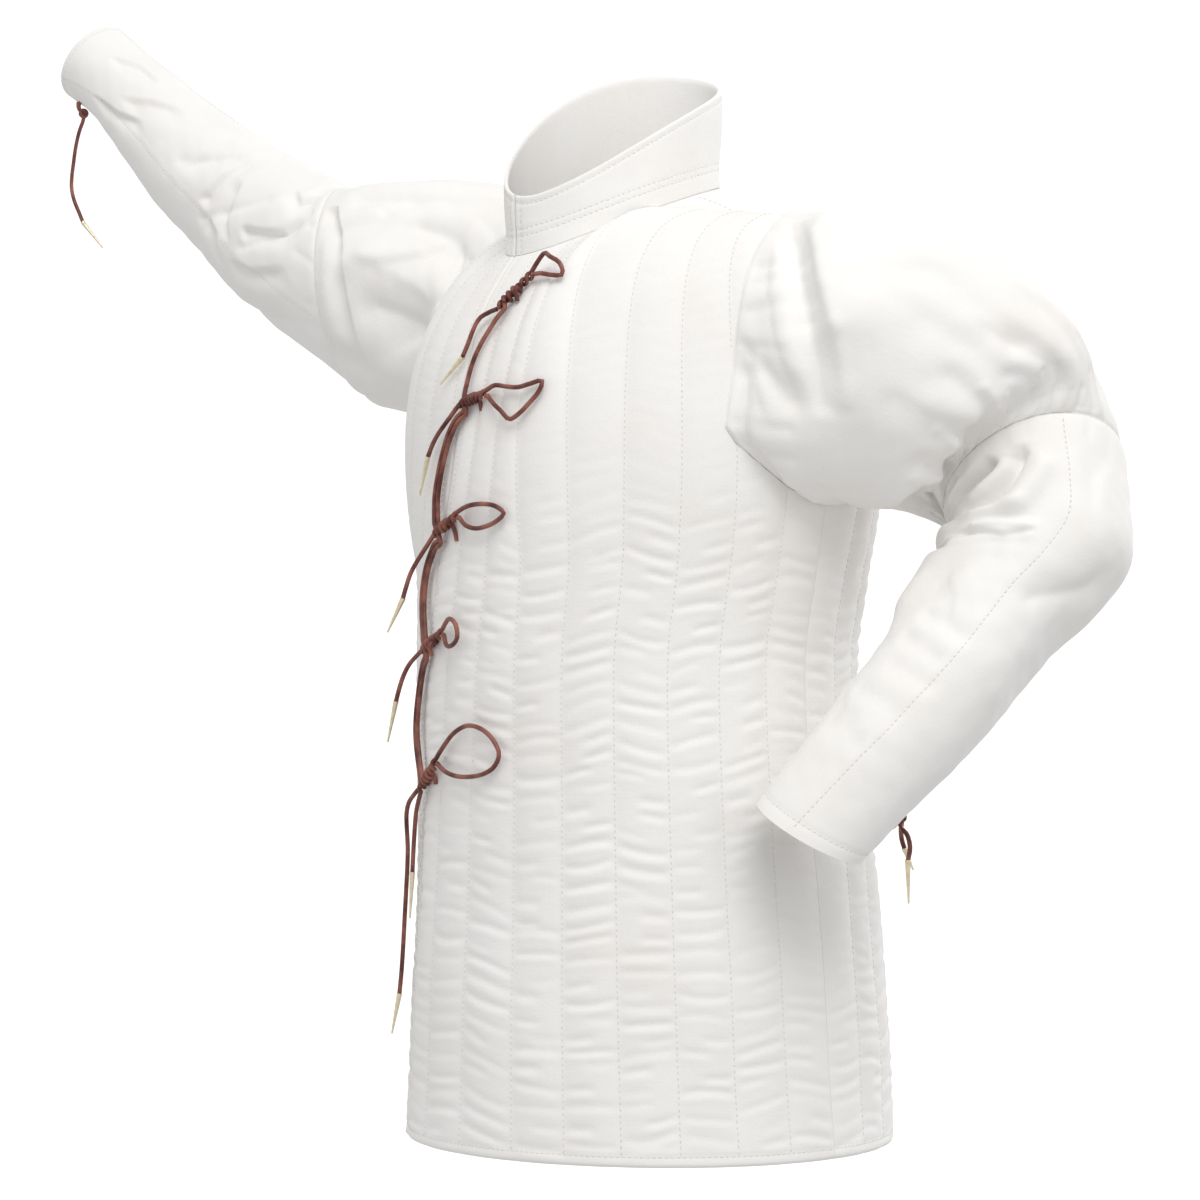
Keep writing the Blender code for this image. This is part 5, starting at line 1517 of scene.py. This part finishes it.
# %% Sizes and routes of the laces
LACE, KNOT = 0.0040, 0.0100
LACE_STEP, FINE_STEP, KNOT_STEP = 0.012, 0.004, 0.002
AIGLET_MOUTH, AIGLET_TIP, AIGLET_SIDES = 0.0046, 0.0016, 20
BESIDE, CUFF_BESIDE, RUN_INSET = 0.0047, 0.0066, 0.0055
Tie = namedtuple("Tie", "edge_end loop_end loop short short_tip run run_strands")
TIES = [Tie(*scaled(row[:-1], 1000), row[-1]) for row in (
    ((34, -100, 8), (62, -74, 8), ((74, -62, 12), (96, -64, 13), (120, -69, 9), (124, -76, 6),
     (104, -75, 5), (84, -74, 6)), ((11, -108, 6), (5, -125, 5), (1, -138, 5)), (-26, -160, 5),
     ((21, -130, 4), (14, -152, 4)), 1),
    ((10, -179, 8), (42, -172, 8), ((56, -166, 6), (81, -169, 5), (107, -165, 5), (97, -180, 5),
     (78, -195, 5), (66, -188, 6)), ((-2, -191, 6), (-19, -206, 6), (-30, -220, 5)),
     (-39, -252, 5), ((1, -202, 4), (-6, -228, 4), (-7, -256, 4)), 2),
    ((4, -286, 8), (34, -272, 8), ((46, -265, 6), (64, -264, 5), (84, -268, 5), (90, -274, 5),
     (80, -281, 5), (62, -284, 5), (47, -280, 6)), ((-5, -302, 11), (-10, -319, 17),
     (-12, -341, 21)), (-14, -370, 31), ((-6, -314, 4), (-8, -344, 4)), 2),
    ((9, -384, 8), (44, -370, 8), ((56, -361, 10), (68, -360, 14), (78, -371, 13), (68, -381, 9),
     (58, -382, 7)), ((-5, -396, 12), (-10, -410, 17), (-12, -428, 21)), (-14, -463, 27),
     ((3, -416, 4), (1, -455, 5)), 2),
    ((24, -503, 8), (56, -479, 8), ((70, -464, 6), (83, -453, 5), (102, -448, 5), (124, -455, 5),
     (139, -470, 5), (136, -482, 5), (122, -489, 5), (98, -491, 5), (78, -488, 6)), ((14, -522, 6),
     (8, -548, 6), (6, -576, 6)), (5, -616, 6), (), 0))]
LONG_END = scaled(((4, -520, 12), (-6, -560, 9), (-10, -610, 9),
                   (-12, -657, 9), (-13, -683, 10)), 1000)
LONG_END_TIP = scaled((-15, -718, 15), 1000)
CuffTie = namedtuple("CuffTie", "side knot ends tips")
CUFF_TIES = [CuffTie(row[0], *scaled(row[1:], 10000)) for row in (
    ("left", ((2800, 680, -5180), (2840, 680, -5300)), (((2905, 680, -5370), (2910, 700, -5470),
     (2895, 690, -5570)), ((2775, 710, -5370), (2770, 750, -5480))), ((2870, 715, -5925),
     (2770, 840, -5660))),
    ("right", ((-7180, -2110, 1800), (-7290, -2180, 1700)), (((-7300, -2195, 1500),
     (-7310, -2230, 1280), (-7320, -2250, 940), (-7245, -2160, 620)),), ((-7136, -1984, 352),)))]


# %% Leather and brass
def leather_finish():
    finish = Finish("lace_leather", metallic=0.0, specular_ior_level=0.45)
    place = finish.add("ShaderNodeTexCoord", output=3)
    grain = finish.noise(place, 900.0, 3.0, 0.6)
    tone = finish.spread(finish.noise(place, 60.0, 2.0), 0.35, 0.65)
    base = finish.tint(tone, (0.100, 0.018, 0.012), (0.340, 0.125, 0.088))
    finish.surface(finish.tint(grain * 0.30, base, (0.040, 0.010, 0.008)), 0.30 + grain * 0.25)
    finish.bump(grain, 0.5, 0.0003)
    return finish.material


def brass_finish():
    finish = Finish("aiglet_brass")
    place = finish.add("ShaderNodeTexCoord", output=3)
    brushed = finish.noise(place, 1600.0, 1.0)
    worn = finish.spread(finish.noise(place, 240.0, 3.0), 0.45, 0.75)
    finish.surface(finish.tint(worn, (0.88, 0.80, 0.60), (0.74, 0.61, 0.38)), 0.34 + worn * 0.14)
    finish.plug(finish.shader, {"Metallic": 1 - worn * 0.15})
    finish.bump(brushed, 0.08, 0.0001)
    return finish.material


leather, brass = leather_finish(), brass_finish()


# %% Places on the fronts
def rise_at(around, height):
    """How far up its channel the body reaches a height, found by halving."""
    low, high = 0.0, 2.0
    for _ in range(30):
        middle = (low + high) / 2
        if torso_form(around, middle).z < height:
            low = middle
        else:
            high = middle
    return (low + high) / 2


def on_front(across, height, lift):
    """A place at so much cloth from the front edge, at a height and off the cloth."""
    edge, step = (0.0, 0.25) if across >= 0 else (float(ALL_CHANNELS), -0.25)
    rise = rise_at(edge, height)
    around, left = edge, abs(across)
    here = torso_form(around, rise)
    while True:
        ahead = torso_form(around + step, rise)
        width = (ahead - here).length
        if width >= left:
            break
        around, here, left = around + step, ahead, left - width
    around += step * left / width
    rise = rise_at(around, height)
    return torso_form(around, rise) + torso_normal(around, rise) * lift


def smooth_route(points, step):
    """The curve through the points, at even steps along it."""
    fine = [through(points, i / 16) for i in range(16 * (len(points) - 1))] + [points[-1]]
    walked_to = [0.0]
    for a, b in zip(fine, fine[1:]):
        walked_to.append(walked_to[-1] + (b - a).length)
    count = max(round(walked_to[-1] / step), 3)
    route, k = [], 0
    for i in range(count + 1):
        goal = walked_to[-1] * i / count
        while k < len(walked_to) - 2 and walked_to[k + 1] < goal:
            k += 1
        share = (goal - walked_to[k]) / max(walked_to[k + 1] - walked_to[k], 1e-9)
        route.append(blend(fine[k], fine[k + 1], min(max(share, 0.0), 1.0)))
    return route


def stand_off(point, way, face, reach):
    return point + face * (SEAM_GAP + reach * face.cross(way).length)


def beside(points, off, aside):
    """The same line moved aside on the cloth, for the second strand of two."""
    last = len(points) - 1
    moved = []
    for i, point in enumerate(points):
        way = points[min(i + 1, last)] - points[max(i - 1, 0)]
        moved.append(point + way.cross(off).normalized() * aside)
    return moved


Knot = namedtuple("Knot", "edge_end loop_end along across off")


def knot_frame(tie):
    """A knot's two ends on the cloth, and the ways along it, across it and off the cloth."""
    edge_end, loop_end = on_front(*tie.edge_end), on_front(*tie.loop_end)
    along = (loop_end - edge_end).normalized()
    off = edge_end - on_front(tie.edge_end[0], tie.edge_end[1], 0.0)
    off = (off - along * off.dot(along)).normalized()
    stations = [blend(edge_end, loop_end, share / 8) for share in range(9)]
    spare = min(body_tree.find_nearest(p)[3] for p in stations) - KNOT / 2 - SEAM_GAP
    return Knot(edge_end - off * spare, loop_end - off * spare, along, along.cross(off), off)


# %% Laces, knots and aiglets
def line_length(points):
    return sum((b - a).length for a, b in zip(points, points[1:]))


def lace(node, route, faces, off=None, aside=0.0, inside=(), into=()):
    """A lace along its solid's line, drawn finer, from and into its knots where given."""
    points = smooth_route(route, LACE_STEP)
    if off is not None:
        points = beside(points, off, aside)
    for end, ahead, face in ((0, 1, faces[0]), (-1, -2, faces[1])):
        if face is not None:
            way = (points[ahead] - points[end]).normalized()
            points[end] = stand_off(points[end], way, face, LACE / 2 + abs(aside))
    points = smooth_route([*inside, *points, *into], FINE_STEP)
    piece = strands("lace_" + node, [points], LACE / 2, leather)
    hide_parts(node)
    return piece, points


def aiglet(node, points, tip):
    """A brass tip: a cone rolled from sheet, with a lip at its mouth and a round point."""
    end = points[-1]
    face = (end - points[-2]).normalized()
    start = stand_off(end, (tip - end).normalized(), face, AIGLET_MOUTH / 2)
    length, way = (tip - start).length, (tip - start).normalized()
    mouth, point = AIGLET_MOUTH / 2, AIGLET_TIP / 2
    profile = [(-0.0012, mouth * 0.82), (-0.0012, mouth), (0.0004, mouth * 1.06),
               (0.0016, mouth), (0.0024, mouth * 0.93), (length * 0.12, mouth * 0.95),
               (length * 0.5, blend(mouth, point, 0.5)), (length * 0.9, point * 1.15),
               (length - point, point), (length - point * 0.3, point * 0.7),
               (length, point * 0.05)]
    up = way.orthogonal().normalized()
    side = way.cross(up)
    turns = [2.0 * math.pi * k / AIGLET_SIDES for k in range(AIGLET_SIDES)]
    piece = lofted("brass_" + node, [
        [start + way * reach + (up * math.cos(a) + side * math.sin(a)) * radius for a in turns]
        for reach, radius in profile], brass)
    piece.data.shade_smooth()
    piece.data.set_sharp_from_angle(angle=math.radians(60))
    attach(piece, "root")
    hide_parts(node)
    return piece


def declare_lace(piece, points):
    line_length(points)
    print("%s: %.0f mm" % (piece.name, line_length(points) * 1000))


KNOT_STRAND, WRAP_STRAND = 0.0019, 0.0017
TWIST_STEPS, WRAP_STEPS = 44, 18
WAIST, WAIST_AT, WAIST_SPREAD = 0.45, 0.42, 0.22           # shares of the knot's length
WRAP_FROM, WRAP_REACH, WRAP_TURN = 0.20, 0.42, 0.6
TAIL_AHEAD, TAIL_DROPS, TAIL_IN = 0.004, (0.006, 0.008), 0.002


def knot(node, seat, turns, wraps, tail, held=()):
    """A slip knot: two strands twisted together, wrapped, with one cut end hanging."""
    edge_end, loop_end, along, across, off = seat

    def drawn_in(share):
        return BESIDE / 2 * (1.0 - WAIST * math.exp(-((share - WAIST_AT) / WAIST_SPREAD) ** 2))

    def winding(steps, place, angle, radius):
        return [place(i / steps) + (across * math.cos(angle(i / steps))
                                    + off * math.sin(angle(i / steps))) * radius(i / steps)
                for i in range(steps + 1)]

    length = (loop_end - edge_end).length
    lines = list(held)
    for phase in (0.0, math.pi):
        lines.append(winding(
            TWIST_STEPS, lambda share: edge_end + along * length * share,
            lambda share: phase + 2.0 * math.pi * turns * (share - 1.0), drawn_in))
    wrap = winding(
        int(WRAP_STEPS * wraps),
        lambda share: blend(edge_end, loop_end, WRAP_FROM + WRAP_REACH * share),
        lambda share: 2.0 * math.pi * wraps * share + WRAP_TURN,
        lambda share: KNOT / 2 - WRAP_STRAND)
    if tail:
        ahead = (wrap[-1] - wrap[-2]).normalized()
        start = wrap[-1]
        low = start + ahead * TAIL_AHEAD - Vector((0.0, 0.0, TAIL_DROPS[0]))
        end = low - Vector((0.0, 0.0, TAIL_DROPS[1])) - off * TAIL_IN
        wrap += smooth_route([start, low, end], KNOT_STEP)[1:]
    piece = strands("knot_" + node, lines + [wrap], KNOT_STRAND, leather)
    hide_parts(node)


for number, tie in enumerate(TIES, 1):
    seat = knot_frame(tie)
    edge_end, loop_end, along, across, off = seat
    name = "tie_%d_" % number
    knot(name + "knot", seat, 2.5 + 0.5 * (number % 2), 2.6 + 0.4 * (number % 3), True)
    route = [loop_end - across * BESIDE / 2] + [on_front(*place) for place in tie.loop]
    piece, points = lace(name + "loop", route + [loop_end + across * BESIDE / 2],
                         (along, along))
    declare_lace(piece, points)
    ends = [("short", tie.short, tie.short_tip, 0.0)]
    if number == len(TIES):
        ends = [("short", tie.short, tie.short_tip, 0.5), ("long", LONG_END, LONG_END_TIP, -0.5)]
    for end_name, places, tip, slot in ends:
        route = [edge_end + across * BESIDE * slot] + [on_front(*place) for place in places]
        piece, points = lace(name + end_name, route, (-along, None))
        tip_piece = aiglet(name + end_name + "_aiglet", points, on_front(*tip))
        declare_lace(piece, points)
    for strand in range(tie.run_strands):
        after = knot_frame(TIES[number])
        aside = (strand - 0.5 * (tie.run_strands - 1)) * BESIDE
        route = [edge_end + along * RUN_INSET + across * KNOT / 2]
        route += [on_front(*place) for place in tie.run]
        into = after.edge_end + after.along * RUN_INSET
        route.append(into - after.across * KNOT / 2)
        piece, points = lace(name + "run_%d" % (strand + 1), route, (across, -after.across),
                             off, aside, [edge_end + along * RUN_INSET], [into])
        declare_lace(piece, points)


# %% Ties of the cuffs
def coarse_sleeve_tree(arm):
    """The lower sleeve's plain outer face, which its cuff tie is set against."""
    shape = cuff_rings[arm.side]
    last, count = len(shape) - 1, len(shape[0])
    along = np.linspace(0.0, 1.0, last + 1)[:, None]
    lift = fold_heights(FOLDS[arm.side + "_lower"], sleeve_size(shape), along,
                        (np.arange(count) / count)[None, :])
    lift[[0, -1]] = 0.0
    grid = np.array(shape)
    return search_tree([grid + grid_normals(grid, True) * lift[..., None]], True)


# Each cuff's lace comes out of the cloth at two places: this far ahead of the knot towards the
# cuff's end, and this far to each side.
OUTLET_AHEAD, OUTLET_ASIDE, OUTLET_BOW = 0.013, 0.008, 0.003
for arm, tie in zip(ARMS, CUFF_TIES):
    tree = coarse_sleeve_tree(arm)
    seats = [tree.find_nearest(Vector(place)) for place in tie.knot]
    top, low = [seat[0] + seat[1] * (KNOT / 2 + SEAM_GAP) for seat in seats]
    off = seats[0][1]
    along = (low - top).normalized()
    along = along if along.x > 0.0 else -along
    off = (off - along * off.dot(along)).normalized()
    middle = blend(top, low, 0.5)
    held = []
    for aside in (-OUTLET_ASIDE, OUTLET_ASIDE):
        outlet, face, _, _ = tree.find_nearest(middle + arm.cuff_axis * OUTLET_AHEAD
                                               + along * aside)
        held.append(smooth_route([middle, blend(middle, outlet, 0.6) + face * OUTLET_BOW,
                                  outlet + face * 0.001, outlet - face * 0.002], KNOT_STEP))
    way = (low - top).normalized()
    knot(tie.side + "_cuff_knot", Knot(top, low, way, way.cross(off), off), 1.0, 2.0, False,
         held)
    down = Vector((0.0, 0.0, -1.0))
    down = (down - along * down.dot(along)).normalized()
    for number, (places, tip) in enumerate(zip(tie.ends, tie.tips)):
        slot = 0.5 * (len(tie.ends) - 1) - number
        start = middle + along * CUFF_BESIDE * slot + down * KNOT / 2
        route = [start] + [pushed_clear(Vector(p), tree, LACE / 2 + SEAM_GAP) for p in places]
        name = tie.side + "_cuff_end_%d" % (number + 1)
        piece, points = lace(name, route, (down, None), inside=[middle - down * 0.003])
        tip_piece = aiglet(name + "_aiglet", points, Vector(tip))
        declare_lace(piece, points)


# %% [markdown]
# ## What each piece stands for
# Every piece of cloth rides on the coat and stands for its solid, which is hidden; its finish comes
# with its mesh.
# The size each was cut to is printed.

# %% Attaching the pieces and their cut sizes
def cut_size(grid):
    """Width and length of a cut, from a grid of the cloth."""
    return float(walked(grid, 1)[:, -1].max()), float(walked(grid, 0)[-1].max())


for name, piece in cloth_pieces.items():
    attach(piece, "root")
    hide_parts(name)
for panel in PANELS:
    piece = cloth_pieces[panel.name]
    flat = cut_size(body_grids[panel.name].form)
    area = sum(face.area for face in piece.data.polygons if face.material_index == 1)
    print(panel.name, "cut %.2f x %.2f m, %.3f square metres" % (*flat, area))
for key, sleeve in sleeves.items():
    grid = looped(sleeve.grid, True)
    flat = cut_size(grid)[0], float(walked(sleeve.grid, 0)[-1].mean())
    area = min(flat_area(grid), flat[0] * flat[1])
    "gathered" if "upper" in key else "hung"
    print(key, "cut %.2f x %.2f m, %.3f square metres" % (*flat, area))
flat = cut_size(collar.form)
flat_area(collar.form)
print("collar cut %.2f x %.2f m" % flat)

# %% [markdown]
# ## Floor, backdrop and light
# White cloth on white needs light from everywhere and only a little more from above, or its
# upper side melts into the backdrop.  The coat hangs in the middle of a round white dish, so
# that it looks the same from any side.  The dish is only seen: it neither lights nor shades
# the coat.  A sky that is paler above than below does that, and one broad soft light above the
# front draws the puckers and folds.

# %% Studio
FLOOR_HEIGHT, DISH_RADIUS, DISH_CURVE, DISH_WALL = -1.45, 8.0, 2.0, 6.0
DISH_TURNS, CURVE_STEPS = 96, 24


def studio_dish():
    """A round floor that curves up into a wall, turned from one profile."""
    profile = [(0.0, 0.0)]
    for k in range(CURVE_STEPS + 1):
        a = math.pi / 2 * k / CURVE_STEPS
        profile.append((DISH_RADIUS - DISH_CURVE * (1.0 - math.sin(a)),
                        DISH_CURVE * (1.0 - math.cos(a))))
    profile.append((DISH_RADIUS, DISH_WALL))
    mesh = bpy.data.meshes.new("studio_dish")
    mesh.from_pydata([(x, 0.0, FLOOR_HEIGHT + z) for x, z in profile],
                     [(k, k + 1) for k in range(len(profile) - 1)], [])
    finish = Finish("studio_paint", roughness=0.95, base_color=(0.86, 0.86, 0.86, 1.0),
                    emission_color=(1.0, 1.0, 1.0, 1.0), emission_strength=0.50)
    mesh.materials.append(finish.material)
    dish = linked("studio_dish", mesh)
    turn = dish.modifiers.new("turn", "SCREW")
    turn.steps = turn.render_steps = DISH_TURNS
    turn.use_merge_vertices = True
    turn.merge_threshold = 0.0001
    dish.visible_diffuse = dish.visible_glossy = dish.visible_shadow = False


def area_light(name, place, target, size, power, colour):
    light = bpy.data.lights.new(name, "AREA")
    light.shape = "SQUARE"
    light.size, light.energy, light.color = size, power, colour
    lamp = linked(name, light)
    lamp.location = place
    lamp.rotation_euler = (target - place).to_track_quat("-Z", "Y").to_euler()
    lamp.visible_camera = False


studio_dish()
middle = Vector((0.0, 0.0, -0.40))
area_light("key_light", middle - view_ahead * 2.7 + view_right * 0.5 + Vector((0, 0, 3.0)),
           middle, 2.2, 74.0, (1.0, 0.995, 0.985))
area_light("back_light", middle + view_ahead * 2.6 + view_right * 2.6 + Vector((0, 0, 0.9)),
           middle, 1.6, 44.0, (0.985, 0.993, 1.0))
SKY_BELOW, SKY_ABOVE = 0.63, 0.82


def studio_sky():
    """An even sky whose light grows from straight below to straight above."""
    world = bpy.data.worlds.new("studio_sky")
    world.use_nodes = True
    nodes, links = world.node_tree.nodes, world.node_tree.links
    place = nodes.new("ShaderNodeTexCoord")
    parts = nodes.new("ShaderNodeSeparateXYZ")
    spread = nodes.new("ShaderNodeMapRange")
    links.new(place.outputs["Generated"], parts.inputs["Vector"])
    links.new(parts.outputs["Z"], spread.inputs["Value"])
    for socket, value in (("From Min", -1.0), ("From Max", 1.0), ("To Min", SKY_BELOW),
                          ("To Max", SKY_ABOVE)):
        spread.inputs[socket].default_value = value
    sky = nodes["Background"]
    sky.inputs["Color"].default_value = (1.0, 1.0, 1.0, 1.0)
    links.new(spread.outputs["Result"], sky.inputs["Strength"])
    return world


scene.world = studio_sky()
scene.view_settings.view_transform = "Standard"
